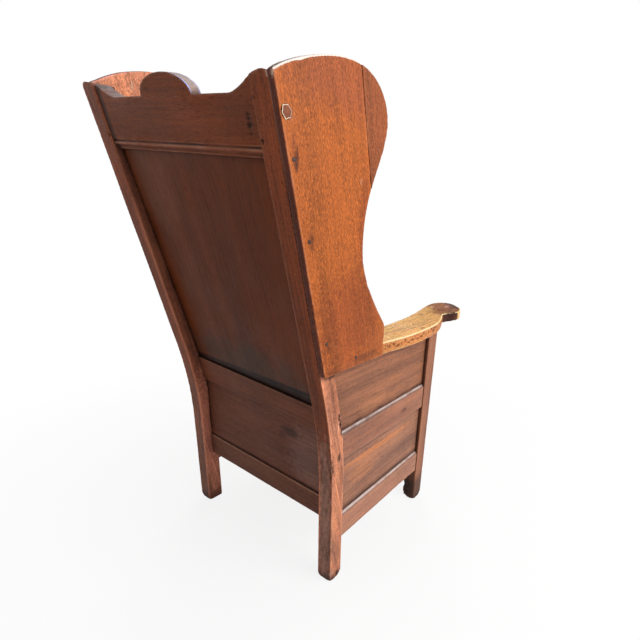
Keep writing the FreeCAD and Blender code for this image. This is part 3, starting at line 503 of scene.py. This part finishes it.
crest = hand_work("crest_rail", "worn_crest_rail", 0.0016, rounds=2, seed=9.0,
                  deep=[(dent, 0.006, 0.0016) for dent in TOOL_DENTS])
lay_finish(crest, crest_oak, "frame_oak", "chair", "crest_rail")
# The lobe's faces that look up and towards the chair's right carry a painted pale highlight.
lobe_oak = old_oak(
    "crest_lobe_oak", ACROSS, (115, 55, 24), (150, 104, 84), 6.4, spread=0.13, speck=0.3, dust_and_sheen=0.5,
    dust_and_sheen_tone=(190, 182, 184), turns=(((-0.707, 0.1, 0.70), (200, 180, 172), 0.76, 0.95),))
lobe = hand_work("crest_lobe", "worn_crest_lobe", 0.0016, rounds=2, seed=11.0, bed=(LOBE_FOOT, UP_SLOPE, 0.012, 0.008))
lay_finish(lobe, lobe_oak, "frame_oak", "chair", "crest_lobe")

# Crest pegs: whittled oak pins driven through the posts' faces to hold the tenons of the crest rail.
# Each has a cut and rounded head, dark where its end grain has soaked up wax.
FRONT_TO_BACK = (0.0, 0.0, math.radians(-90.0))
PEG_RADIUS = 0.0032
PEG_LENGTH = 0.018
PEG_HEAD = ((0.0007, (0.0, 0.0, 0.0006)), (0.0012, (0.0002, 0.0, 0.0003)))
PEG_SPOTS = ((0.258, 0.3801, 1.101), (-0.258, 0.3801, 1.101), (0.258, 0.3933, 1.163), (-0.258, 0.3933, 1.163))


def pick_ends(piece, way):
    """Selects the end faces of a small piece, the outer for a way of 1 and the inner for -1, ready for work."""
    bpy.ops.object.mode_set(mode="EDIT")
    bpy.ops.mesh.select_mode(type="FACE")
    bpy.ops.mesh.select_all(action="DESELECT")
    bpy.ops.object.mode_set(mode="OBJECT")
    for face in piece.data.polygons:
        face.select = way * face.normal.z > 0.9
    bpy.ops.object.mode_set(mode="EDIT")


def round_head(piece, steps):
    """Cuts the outer end of a small piece to a low head: each step insets the face and moves it."""
    pick_ends(piece, 1.0)
    for width, move in steps:
        bpy.ops.mesh.inset(thickness=width)
        bpy.ops.transform.translate(value=move)
    bpy.ops.object.mode_set(mode="OBJECT")


def set_in(pattern, name, place, turned=Matrix.Identity(3)):
    """A copy of a small piece with a mesh of its own, turned and put in its place."""
    bpy.ops.object.select_all(action="DESELECT")
    copy = bpy.data.objects.new(name, pattern.data.copy())
    bpy.context.scene.collection.objects.link(copy)
    copy.location = place
    copy.rotation_euler = turned.to_euler()
    copy.select_set(True)
    bpy.context.view_layer.objects.active = copy
    bpy.ops.object.transform_apply(location=True, rotation=True, scale=True)
    return copy


peg_oak = old_oak("crest_peg_oak", FRONT_TO_BACK, (116, 62, 39), (150, 104, 76), 7.0, shade_and_dirt=0.3, marks=(
    ((-0.2585, 0.381, 1.1015), (0.0026, 0.006, 0.0026), (22, 13, 10), 0.95),
    ((-0.2575, 0.394, 1.163), (0.0012, 0.006, 0.005), (40, 24, 18), 0.8)))
bpy.ops.object.select_all(action="DESELECT")
bpy.ops.mesh.primitive_cylinder_add(vertices=9, radius=PEG_RADIUS, depth=PEG_LENGTH)
peg = bpy.context.object
round_head(peg, PEG_HEAD)
bpy.ops.object.shade_smooth_by_angle(angle=math.radians(40.0))
face_way = Vector((0.0, math.cos(RAKE), -math.sin(RAKE)))
for i, spot in enumerate(PEG_SPOTS):
    turned = face_way.to_track_quat("Z", "Y").to_matrix() @ Matrix.Rotation(0.7 * i, 3, "Z")
    place = Vector(spot) - face_way * (PEG_LENGTH / 2.0)
    driven = set_in(peg, "whittled_crest_peg_%d" % (i + 1), place, turned)
    lay_finish(driven, peg_oak, "peg_oak", "chair", "crest_pegs")
bpy.data.objects.remove(peg)

# Rails of the sides: bottom and middle rails with a chamfer worked along their upper edges.
# Oak, tenoned between the posts. The chamfers are rubbed, and a painted highlight runs along each.
for side, out in SIDES:
    chamfer = (out * 0.747, 0.0, 0.664)
    knot = (out * 0.2974, -0.0734, 0.4191)
    rail_looks = {"streak": 1.3, "shakes": 0.6, "shine": 0.2, "dust_and_sheen": 0.4}
    # The pale band along each chamfer is a painted highlight.
    rail_oaks = {
        "bottom_rail": old_oak(
            side + "_bottom_rail_oak", FRONT_TO_BACK, (160, 111, 89), (196, 150, 128), 8.0, **rail_looks,
            dust_and_sheen_tone=(214, 196, 190), turns=((chamfer, (134, 92, 74), 0.88, 0.97),), bands=(
                (((UP, 0.2025, 0.204), (UP, 0.2085, 0.2075)), (208, 190, 184), 0.8),)),
        "mid_rail": old_oak(
            side + "_mid_rail_oak", FRONT_TO_BACK, (146, 96, 74), (180, 128, 104), 8.6, **rail_looks,
            dust_and_sheen_tone=(206, 190, 184), turns=((chamfer, (120, 80, 64), 0.88, 0.97),), marks=(
                (knot, (0.012, 0.024, 0.011), (112, 68, 50), 0.6),
                (knot, (0.012, 0.012, 0.006), (60, 36, 27), 0.7),
                ((out * 0.2974, -0.0724, 0.4195), (0.012, 0.006, 0.0032), (150, 106, 86), 0.6)), bands=(
                (((UP, 0.463, 0.4645), (UP, 0.4685, 0.4675)), (202, 186, 180), 0.8),))}
    for kind, rail_oak in rail_oaks.items():
        rail = hand_work(side + "_" + kind, "worn_" + side + "_" + kind, 0.002, rounds=3, seed=13.0 + out)
        lay_finish(rail, rail_oak, "frame_oak", "chair", side + "_" + kind)

# Side panels: thin level-grained oak boards in grooves between the rails, posts and arm.
# Flat-sawn, so the grain shows broad orange and dark streaks. The lower one has drawn away from the front post.
for side, out in SIDES:
    face = out * 0.287
    panel_looks = {"streak": 1.3, "rings": 0.05, "shakes": 0.7}
    panel_oaks = {
        "lower_panel": old_oak(
            side + "_lower_panel_oak", FRONT_TO_BACK, (147, 103, 83), (180, 120, 90), 9.0, spread=0.19, **panel_looks,
            marks=(
                ((face, -0.186, 0.29), (0.02, 0.004, 0.10), (30, 20, 16), 0.9),
                ((face, 0.10, 0.30), (0.02, 0.07, 0.04), (184, 118, 78), 0.4),
                ((face, 0.03, 0.343), (0.02, 0.20, 0.012), (198, 122, 72), 0.6),
                ((face, 0.172, 0.386), (0.02, 0.03, 0.014), (72, 46, 38), 0.7)),
            bands=((((UP, 0.222, 0.214),), (70, 46, 37), 0.8),)),
        "upper_panel": old_oak(
            side + "_upper_panel_oak", FRONT_TO_BACK, (140, 93, 70), (180, 120, 90), 9.7, spread=0.18, **panel_looks,
            marks=(
                ((face, -0.09, 0.63), (0.02, 0.10, 0.035), (106, 74, 60), 0.6),
                ((face, 0.07, 0.51), (0.02, 0.07, 0.03), (178, 116, 80), 0.45)),
            bands=((((UP, 0.482, 0.474),), (66, 42, 34), 0.8),))}
    for kind, panel_oak in panel_oaks.items():
        panel = hand_work(side + "_" + kind, "dried_" + side + "_" + kind, 0.004, uneven=0.0006, seed=45.0 + out)
        lay_finish(panel, panel_oak, "panel_oak", "chair", side + "_" + kind)

# Arms: flat oak boards shaped in plan, the front end turned outward to a crook.
# Bare of stain and rubbed yellow by hands, with a rounded lip, a pitted edge and dark wear on the crook.
CROOK_HOLLOW = (0.287, -0.285)
CROOK_REACH = 0.08
CROOK_DRAWN = (0.010, 0.024)
CROOK_LIFT = 0.003
CROOK_THINNED = 0.004
PITS = 17
PIT_GAP = 0.0155


def draw_crook(piece, out):
    """Draws the hollow of the crook forward, lifts its end a little and thins it from below."""
    for corner in piece.data.vertices:
        apart = math.hypot(out * corner.co.x - CROOK_HOLLOW[0], corner.co.y - CROOK_HOLLOW[1])
        near = max(0.0, 1.0 - apart / CROOK_REACH)
        near = near * near * (3.0 - 2.0 * near)
        end = min(max((-0.25 - corner.co.y) / 0.07, 0.0), 1.0)
        below = min(max((0.676 - corner.co.z) / 0.012, 0.0), 1.0)
        corner.co.x -= out * CROOK_DRAWN[0] * near
        corner.co.y -= CROOK_DRAWN[1] * near
        corner.co.z += end * (CROOK_LIFT + CROOK_THINNED * below)


for side, out in SIDES:
    outward = (out, 0.0, 0.0)
    rearward = (0.0, 1.0, 0.0)
    edge = out * 0.32
    pits = []
    for i in range(PITS):
        height = 0.666 + 0.0045 * (i * 7 % 3 - 1) + max(0.0, 0.001 * (i - 10))
        pit_reach = (0.018, 0.004 + 0.0025 * (i * 5 % 4), 0.0035 + 0.0015 * (i % 2))
        pits.append(((out * 0.318, 0.064 - PIT_GAP * i, height), pit_reach, (84, 36, 20), 0.75))
    marks = (
        # The crook, dark from hands, with two pale spots.
        ((out * 0.245, -0.365, 0.70), (0.13, 0.085, 0.08), (130, 61, 18), 0.88),
        ((out * 0.27, -0.378, 0.70), (0.035, 0.028, 0.02), (84, 42, 28), 0.9),
        ((out * 0.224, -0.40, 0.70), (0.06, 0.016, 0.02), (74, 44, 30), 0.9),
        ((out * 0.2305, -0.296, 0.70), (0.013, 0.02, 0.014), (98, 62, 46), 0.7),
        ((out * 0.2326, -0.3109, 0.70), (0.007, 0.010, 0.012), (74, 26, 14), 0.9),
        ((out * 0.2154, -0.3288, 0.70), (0.012, 0.014, 0.012), (206, 156, 126), 0.7),
        ((out * 0.2523, -0.3636, 0.70), (0.013, 0.014, 0.012), (212, 150, 126), 0.7),
        # Stains on the top, then stains and pits along the outer edge.
        ((out * 0.3059, -0.1212, 0.682), (0.007, 0.012, 0.01), (96, 62, 42), 0.7),
        ((out * 0.2239, -0.2411, 0.682), (0.008, 0.014, 0.012), (110, 70, 46), 0.6),
        ((edge, 0.0563, 0.669), (0.012, 0.008, 0.005), (74, 22, 12), 0.9),
        ((edge, 0.0312, 0.667), (0.012, 0.006, 0.004), (84, 30, 14), 0.8),
        ((edge, -0.0943, 0.665), (0.012, 0.010, 0.004), (92, 40, 18), 0.8),
        ((out * 0.312, -0.170, 0.676), (0.012, 0.008, 0.004), (80, 34, 18), 0.8), *pits)
    crook_rear = ((rearward, 0.15, 0.4, "facing"), (rearward, -0.268, -0.280))
    crook_end = ((outward, 0.5, 0.8, "facing"), (rearward, 0.35, 0.1, "facing"), (rearward, -0.315, -0.335))
    # A painted highlight along the arm's rounded lip.
    lip_highlight = (((out * 0.6, 0.1, 0.79), 0.85, 0.93, "facing"),)
    arm_oak = old_oak(
        side + "_arm_oak", FRONT_TO_BACK, (255, 172, 98), (252, 226, 172), 10.0 + out, spread=0.24, shine=0.08,
        pores=0.75, fleck=0.6, streak=1.3, dust_and_sheen=0.0, patch=0.5, worm=0.8, shakes=0.6, speck=0.7,
        turns=((outward, (206, 122, 74), 0.5, 0.8), (rearward, (72, 46, 34), 0.5, 0.85)), marks=marks, bands=(
            (crook_rear, (54, 36, 36), 0.93), (crook_end, (252, 216, 148), 0.85), (lip_highlight, (255, 230, 176), 0.89)))
    arm = hand_work(side + "_arm", "worn_" + side + "_arm", 0.0024, rounds=7, seed=17.0 + out)
    draw_crook(arm, out)
    lay_finish(arm, arm_oak, "arm_oak", "chair", side + "_arm")

# Wings: broad quarter-sawn oak boards nailed on the outside of the rear posts, rubbed orange by hands.
# Each has a narrow strip glued to its front edge, and dark stains where its nails have rusted.
NAIL_SPOTS = ((0.3588, 1.078), (0.3248, 0.943), (0.2768, 0.73), (0.1868, 0.674))
NAIL_STAINS = (0.8, 0.55, 0.3, 0.3)
WING_FACE = 0.316
REAR_FACE = 0.2388
LEAN_FROM = 0.436
CREEP = {"left": -0.006, "right": 0.0055}


def creep(piece, side):
    """Slides the rear of a wing along its post. The right one has come flush with the post's back, the left is shy."""
    for corner in piece.data.vertices:
        short = REAR_FACE + (corner.co.z - LEAN_FROM) * math.tan(RAKE) - corner.co.y
        corner.co.y += CREEP[side] * min(max((0.09 - short) / 0.06, 0.0), 1.0)


for side, out in SIDES:
    face = out * WING_FACE
    marks = [((face, depth, height), (0.02, 0.0065, 0.026), (64, 32, 22), strength)
             for (depth, height), strength in zip(NAIL_SPOTS, NAIL_STAINS)]
    marks += [
        ((face, 0.365, 1.103), (0.02, 0.005, 0.022), (112, 58, 36), 0.5),
        ((face, 0.25, 1.225), (0.02, 0.17, 0.07), (138, 72, 43), 0.75),
        ((face, 0.21, 0.77), (0.02, 0.12, 0.15), (134, 66, 33), 0.8),
        ((face, 0.20, 0.655), (0.02, 0.10, 0.02), (112, 62, 42), 0.35),
        ((face, 0.402, 1.190), (0.008, 0.003, 0.012), (216, 190, 168), 0.5),
        ((face, 0.192, 1.060), (0.012, 0.005, 0.009), (206, 150, 112), 0.4),
        ((face, 0.15, 0.668), (0.012, 0.05, 0.012), (90, 50, 34), 0.55),
        ((face, 0.178, 0.98), (0.02, 0.022, 0.12), (136, 66, 34), 0.6),
        ((out * 0.30, 0.30, 1.22), (0.006, 0.0025, 0.014), (226, 190, 170), 0.6)]
    # A painted highlight runs along the top arris of each wing.
    top_arris_highlight = (((out * 0.66, 0.34, 0.67), 0.84, 0.92, "facing"), (UP, 1.16, 1.19))
    wing_oak = old_oak(
        side + "_wing_oak", RAKED, (160, 86, 39), (190, 116, 74), 12.0 + out, spread=0.15, pores=0.3, fleck=1.0,
        speck=0.22, patch=0.3, rings=0.03, shine=0.12, dust_and_sheen=0.0, marks=marks, turns=(
            ((-out, 0.0, 0.0), (232, 153, 116), 0.45, 0.8),
            ((0.0, 1.0, 0.0), (84, 42, 28), 0.5, 0.8),
            ((0.0, 0.25, 0.968), (86, 47, 34), 0.72, 0.9)),
        bands=((top_arris_highlight, (250, 240, 230), 0.95),))
    wing = hand_work(side + "_wing_board", "worn_" + side + "_wing_board", 0.0024, seed=21.0 + out)
    creep(wing, side)
    lay_finish(wing, wing_oak, "wing_oak", "chair", side + "_wing_board")
    strip_oak = old_oak(
        side + "_wing_strip_oak", RAKED, (141, 78, 47), (180, 112, 74), 13.0 + out, pores=0.4, fleck=0.8, speck=0.3,
        dust_and_sheen=0.5, dust_and_sheen_tone=(236, 220, 208), turns=(((-out, 0.0, 0.0), (196, 126, 94), 0.45, 0.8),))
    strip = hand_work(side + "_wing_strip", "worn_" + side + "_wing_strip", 0.002, seed=25.0 + out)
    lay_finish(strip, strip_oak, "wing_oak", "chair", side + "_wing_strip")

# Wing plugs: one whittled oak plug through each wing into the post, six-sided and a little uneven.
# End-grain oak, driven in and pared off, with a pale rim where the chamfer shows bare wood.
PLUG_RADIUS = 0.0108
PLUG_LENGTH = 0.03
PLUG_HEAD = ((0.0011, (0.0, 0.0, 0.0007)), (0.003, (0.0006, -0.0004, 0.0003)))
PLUG_SPOT = (0.3718, 1.146)
PLUG_OUT = 0.3158
PLUG_STRETCH = 0.08
plug_oak = old_oak("wing_plug_oak", ACROSS, (126, 74, 52), (206, 176, 150), 14.0, wear=0.5, shade_and_dirt=0.3)
plug_rim_oak = old_oak("wing_plug_rim_oak", ACROSS, (222, 200, 178), (236, 220, 200), 14.5, shade_and_dirt=0.2)
bpy.ops.object.select_all(action="DESELECT")
bpy.ops.mesh.primitive_cylinder_add(vertices=6, radius=PLUG_RADIUS, depth=PLUG_LENGTH)
plug = bpy.context.object
round_head(plug, PLUG_HEAD)
for face in plug.data.polygons:
    on_rim = 0.2 < face.normal.z < 0.9 and face.center.to_2d().length > 0.8 * PLUG_RADIUS
    face.material_index = 1 if on_rim else 0
bpy.ops.object.mode_set(mode="EDIT")
bpy.ops.mesh.select_all(action="SELECT")
bpy.ops.mesh.subdivide(number_cuts=1)
bpy.ops.object.mode_set(mode="OBJECT")
for corner in plug.data.vertices:
    corner.co.x *= 1.0 + 0.07 * math.sin(3.1 * math.atan2(corner.co.y, corner.co.x) + 0.6)
    corner.co.y *= 1.0 + 0.05 * math.sin(2.0 * math.atan2(corner.co.y, corner.co.x) + 1.9)
bpy.ops.object.shade_smooth_by_angle(angle=math.radians(35.0))
for side, out in SIDES:
    turned = Matrix.Rotation(out * math.radians(90.0), 3, "Y") @ Matrix.Rotation(0.3, 3, "Z")
    place = (out * (PLUG_OUT - PLUG_LENGTH / 2.0), PLUG_SPOT[0], PLUG_SPOT[1])
    driven = set_in(plug, "whittled_" + side + "_wing_plug", place, turned)
    creep(driven, side)
    for corner in driven.data.vertices:
        corner.co.z += PLUG_STRETCH * (corner.co.z - PLUG_SPOT[1])
    lay_finish(driven, plug_oak, "peg_oak", "chair", side + "_wing_plug")
    driven.data.materials.append(plug_rim_oak)
bpy.data.objects.remove(plug)

# Wing nails: hand-forged iron nails with low faceted heads, driven through the wing into the post and the arm.
# The iron is dark and worn grey where hands rubbed it, rusty brown in the hollows.
NAIL_RADIUS = 0.0039
NAIL_THICKNESS = 0.0012
NAIL_HEAD = ((0.0012, (0.0003, 0.0, 0.0007)), (0.0012, (0.0, 0.0002, 0.0003)))
NAIL_SHANK = 0.03
NAIL_OUT = 0.3159
nail_iron = bpy.data.materials.new("forged_nail_iron")
nail_iron.use_nodes = True
tree = nail_iron.node_tree
iron = tree.nodes["Principled BSDF"]
place = add(tree, "ShaderNodeTexCoord").outputs["Object"]
rust = level(tree, cloud(tree, place, 420.0, 4.0, 0.6), 0.4, 0.65)
pitting = cloud(tree, place, 900.0, 3.0)
pitted = add(tree, "ShaderNodeBump", {"Strength": 0.6, "Distance": 0.0003, "Height": pitting})
tree.links.new(over(tree, rust, paint(72, 60, 57), paint(66, 40, 30)), iron.inputs["Base Color"])
tree.links.new(level(tree, rust, 0.0, 1.0, 0.42, 0.8), iron.inputs["Roughness"])
tree.links.new(pitted.outputs[0], iron.inputs["Normal"])
iron.inputs["Metallic"].default_value = 0.6
bpy.ops.object.select_all(action="DESELECT")
bpy.ops.mesh.primitive_cylinder_add(vertices=7, radius=NAIL_RADIUS, depth=NAIL_THICKNESS)
nail = bpy.context.object
round_head(nail, NAIL_HEAD)
pick_ends(nail, -1.0)
bpy.ops.mesh.inset(thickness=0.0022)
bpy.ops.mesh.extrude_region_move(TRANSFORM_OT_translate={"value": (0.0, 0.0, -NAIL_SHANK)})
bpy.ops.transform.resize(value=(0.5, 0.5, 1.0))
bpy.ops.object.mode_set(mode="OBJECT")
bpy.ops.object.shade_smooth_by_angle(angle=math.radians(25.0))
for side, out in SIDES:
    for i, (depth, height) in enumerate(NAIL_SPOTS):
        turned = Matrix.Rotation(out * math.radians(90.0), 3, "Y") @ Matrix.Rotation(0.9 * i, 3, "Z")
        name = "forged_%s_wing_nail_%d" % (side, i + 1)
        driven = set_in(nail, name, (out * NAIL_OUT, depth, height), turned)
        creep(driven, side)
        lay_finish(driven, nail_iron, "nail_iron", "chair", side + "_wing_nails")
bpy.data.objects.remove(nail)

# Seat: three oak boards laid across on a bearer at each side.
# The boards are planed, waxed and rubbed paler than the frame, and the bearers are left rough.
def keep_solid(node, material):
    """A CAD piece that is right as it is takes its oak in its own slots."""
    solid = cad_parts[node]
    solid.data.materials.clear()
    solid.data.materials.append(material)


seat_oak = old_oak("seat_oak", ACROSS, (168, 112, 76), (206, 150, 104), 16.0)
bearer_oak = old_oak("bearer_oak", FRONT_TO_BACK, (130, 92, 68), (150, 112, 84), 17.0)
for side, _ in SIDES:
    keep_solid(side + "_seat_bearer", bearer_oak)
for i, part in enumerate(("back", "middle", "front")):
    board = hand_work("seat_board_" + part, "worn_seat_board_" + part, 0.0026, seed=29.0 + i)
    lay_finish(board, seat_oak, "seat_oak", "chair", "seat_board_" + part)

# Front rails: a seat rail and a bottom rail between the front posts, with the drawer between them.
# Oak, tenoned into the posts. The drawer's sides have worn the top of the bottom rail a little lower.
RAIL_TOP_WORN = 0.0008
front_rail_oak = old_oak("front_rail_oak", ACROSS, (140, 90, 66), (190, 132, 94), 18.0)
for node in ("front_seat_rail", "front_bottom_rail"):
    rail = hand_work(node, "worn_" + node, 0.002, seed=33.0)
    if node == "front_bottom_rail":
        rail_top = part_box(node)[1][2]
        for corner in rail.data.vertices:
            corner.co.z -= RAIL_TOP_WORN * min(max((corner.co.z - rail_top + 0.004) / 0.003, 0.0), 1.0)
    lay_finish(rail, front_rail_oak, "frame_oak", "chair", node)

# Drawer: an oak front, thin pine sides and back, and a pine bottom let into grooves.
# It slides on two oak runners between two oak guides.
runner_oak = old_oak("runner_oak", FRONT_TO_BACK, (132, 98, 70), (160, 124, 92), 19.0)
for side, _ in SIDES:
    keep_solid(side + "_drawer_runner", runner_oak)
    keep_solid(side + "_drawer_guide", runner_oak)
drawer_oak = old_oak("drawer_front_oak", ACROSS, (144, 94, 68), (192, 136, 98), 20.0, rings=0.15)
drawer_front = hand_work("drawer_front", "worn_drawer_front", 0.0022, rounds=3, seed=37.0)
lay_finish(drawer_front, drawer_oak, "drawer_front_oak", "drawer", "drawer_front")
drawer_pine = old_oak("drawer_pine", FRONT_TO_BACK, (196, 156, 110), (214, 182, 140), 21.0)
for node in ("drawer_left_side", "drawer_right_side"):
    keep_solid(node, drawer_pine)
drawer_pine_across = old_oak("drawer_pine_across", ACROSS, (196, 156, 110), (214, 182, 140), 22.0)
for node in ("drawer_back", "drawer_bottom"):
    keep_solid(node, drawer_pine_across)

# Drawer knobs: two turned oak knobs, each with a waist and a small button on its end.
# Turned on a lathe from one outline, then glued with a spigot into the drawer front.
KNOB_OUTLINE = (
    (0.0, 0.0), (0.0118, 0.0), (0.0122, -0.0016), (0.0118, -0.003), (0.0086, -0.0045), (0.0078, -0.0075),
    (0.0088, -0.0102), (0.0136, -0.0128), (0.0162, -0.0165), (0.0168, -0.0205), (0.0158, -0.0248), (0.0128, -0.0282),
    (0.0085, -0.0302), (0.0062, -0.0304), (0.0055, -0.0312), (0.0028, -0.0318), (0.0, -0.0319))
KNOB_REACH = 0.032
knob_oak = old_oak("knob_oak", FRONT_TO_BACK, (108, 66, 46), (160, 104, 72), 23.0)
bpy.ops.object.select_all(action="DESELECT")
bpy.ops.mesh.primitive_circle_add(vertices=3, radius=0.01)
knob = bpy.context.object
bpy.ops.object.mode_set(mode="EDIT")
bpy.ops.mesh.select_all(action="SELECT")
bpy.ops.mesh.delete(type="VERT")
bpy.ops.object.mode_set(mode="OBJECT")
knob.data.vertices.add(len(KNOB_OUTLINE))
for corner, (radius, reach) in zip(knob.data.vertices, KNOB_OUTLINE):
    corner.co = (radius, reach, 0.0)
knob.data.edges.add(len(KNOB_OUTLINE) - 1)
for i, line in enumerate(knob.data.edges):
    line.vertices = (i, i + 1)
bpy.ops.object.mode_set(mode="EDIT")
bpy.ops.mesh.select_all(action="SELECT")
bpy.ops.mesh.spin(steps=40, angle=math.radians(360.0), center=(0.0, 0.0, 0.0), axis=(0.0, 1.0, 0.0))
bpy.ops.mesh.select_all(action="SELECT")
bpy.ops.mesh.remove_doubles(threshold=0.00005)
bpy.ops.mesh.normals_make_consistent(inside=False)
bpy.ops.object.mode_set(mode="OBJECT")
bpy.ops.object.shade_smooth_by_angle(angle=math.radians(40.0))
for side, _ in SIDES:
    node = "drawer_%s_knob" % side
    low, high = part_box(node)
    place = ((low[0] + high[0]) / 2.0, low[1] + KNOB_REACH, (low[2] + high[2]) / 2.0)
    turned_knob = set_in(knob, "turned_" + node, place)
    lay_finish(turned_knob, knob_oak, "drawer_front_oak", "drawer", node)
bpy.data.objects.remove(knob)

# Studio: a plain pale floor and a white surround, which the camera sees as white.
# A broad soft lamp stands on the chair's right, and a weaker one fills from its front left.
WHITE = (1.0, 1.0, 1.0, 1.0)
FLOOR_TONE = (0.86, 0.86, 0.86, 1.0)
FLOOR_RADIUS = 9.0
FLOOR_DROP = 0.0006
LAMP_AIM = (0.0, 0.0, 0.6)
LAMP_WIDTH = 2.4


def show_white(tree, seen, under, white, surface):
    """Shows white where it is seen straight, and leaves the rest as it is for the light."""
    shown = add(tree, "ShaderNodeMixShader", {0: seen, 1: under, 2: white})
    tree.links.new(shown.outputs[0], surface)


def soft_lamp(name, place, power):
    """A round soft lamp turned to the middle of the chair."""
    lamp = bpy.data.lights.new(name, "AREA")
    lamp.shape = "DISK"
    lamp.size = LAMP_WIDTH
    lamp.energy = power
    holder = bpy.data.objects.new(name, lamp)
    bpy.context.scene.collection.objects.link(holder)
    holder.location = place
    holder.rotation_euler = (Vector(LAMP_AIM) - Vector(place)).to_track_quat("-Z", "Y").to_euler()


bpy.ops.object.select_all(action="DESELECT")
bpy.ops.mesh.primitive_circle_add(vertices=96, radius=FLOOR_RADIUS, fill_type="NGON", location=(0, 0, -FLOOR_DROP))
floor = bpy.context.object
floor.name = "studio_floor"
floor_paint = bpy.data.materials.new("studio_floor_paint")
floor_paint.use_nodes = True
tree = floor_paint.node_tree
matt = tree.nodes["Principled BSDF"]
matt.inputs["Base Color"].default_value = FLOOR_TONE
matt.inputs["Roughness"].default_value = 0.9
matt.inputs["Specular IOR Level"].default_value = 0.1
white = add(tree, "ShaderNodeEmission", {"Color": WHITE, "Strength": 1.0}).outputs[0]
middle = add(tree, "ShaderNodeTexCoord").outputs["Object"]
apart = add(tree, "ShaderNodeVectorMath", {0: middle}, operation="LENGTH").outputs[1]
seen = add(tree, "ShaderNodeLightPath").outputs["Is Camera Ray"]
seen = reckon(tree, "MULTIPLY", seen, level(tree, apart, 0.4, 1.5, 0.84, 1.0))
show_white(tree, seen, matt.outputs[0], white, tree.nodes["Material Output"].inputs["Surface"])
floor.data.materials.append(floor_paint)
floor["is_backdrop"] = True

world = bpy.data.worlds.new("studio")
bpy.context.scene.world = world
world.use_nodes = True
tree = world.node_tree
sky = tree.nodes["Background"]
sky.inputs["Color"].default_value = WHITE
sky.inputs["Strength"].default_value = 0.5
white = add(tree, "ShaderNodeBackground", {"Color": WHITE, "Strength": 1.0}).outputs[0]
path = add(tree, "ShaderNodeLightPath")
seen = reckon(tree, "MAXIMUM", path.outputs["Is Camera Ray"], path.outputs["Is Transmission Ray"])
seen = reckon(tree, "MAXIMUM", seen, path.outputs["Is Glossy Ray"])
show_white(tree, seen, sky.outputs[0], white, tree.nodes["World Output"].inputs["Surface"])
soft_lamp("key_lamp", (-3.0, -0.5, 1.9), 92.0)
soft_lamp("fill_lamp", (2.2, -2.4, 2.6), 40.0)

# Camera: stands behind and to the chair's right, as the photograph was taken, a little rolled.
# Its focus and centre are in pixels of a picture 640 wide and 640 high.
PICTURE = 640.0
SENSOR = 36.0
STAND = (-0.90075, 0.87723, 1.03262)
AZIMUTH = math.radians(207.7987)
ELEVATION = math.radians(19.0857)
ROLL = math.radians(6.5584)
FOCUS = 402.8523
CENTRE = (440.4427, 345.7538)
level_part = math.cos(ELEVATION)
back = Vector((math.sin(AZIMUTH) * level_part, -math.cos(AZIMUTH) * level_part, math.sin(ELEVATION)))
sideways = (-back).cross(Vector(UP)).normalized()
upward = sideways.cross(-back)
right = sideways * math.cos(ROLL) + upward * math.sin(ROLL)
top = upward * math.cos(ROLL) - sideways * math.sin(ROLL)
view = bpy.data.cameras.new("photo_camera")
view.sensor_width = SENSOR
view.lens = FOCUS * SENSOR / PICTURE
view.shift_x = (PICTURE / 2.0 - CENTRE[0]) / PICTURE
view.shift_y = (CENTRE[1] - PICTURE / 2.0) / PICTURE
view.clip_start = 0.02
camera = bpy.data.objects.new("photo_camera", view)
bpy.context.scene.collection.objects.link(camera)
camera.matrix_world = Matrix.Translation(STAND) @ Matrix((right, top, back)).transposed().to_4x4()
bpy.context.scene.camera = camera
bpy.context.scene.view_settings.view_transform = "Standard"

low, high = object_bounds()
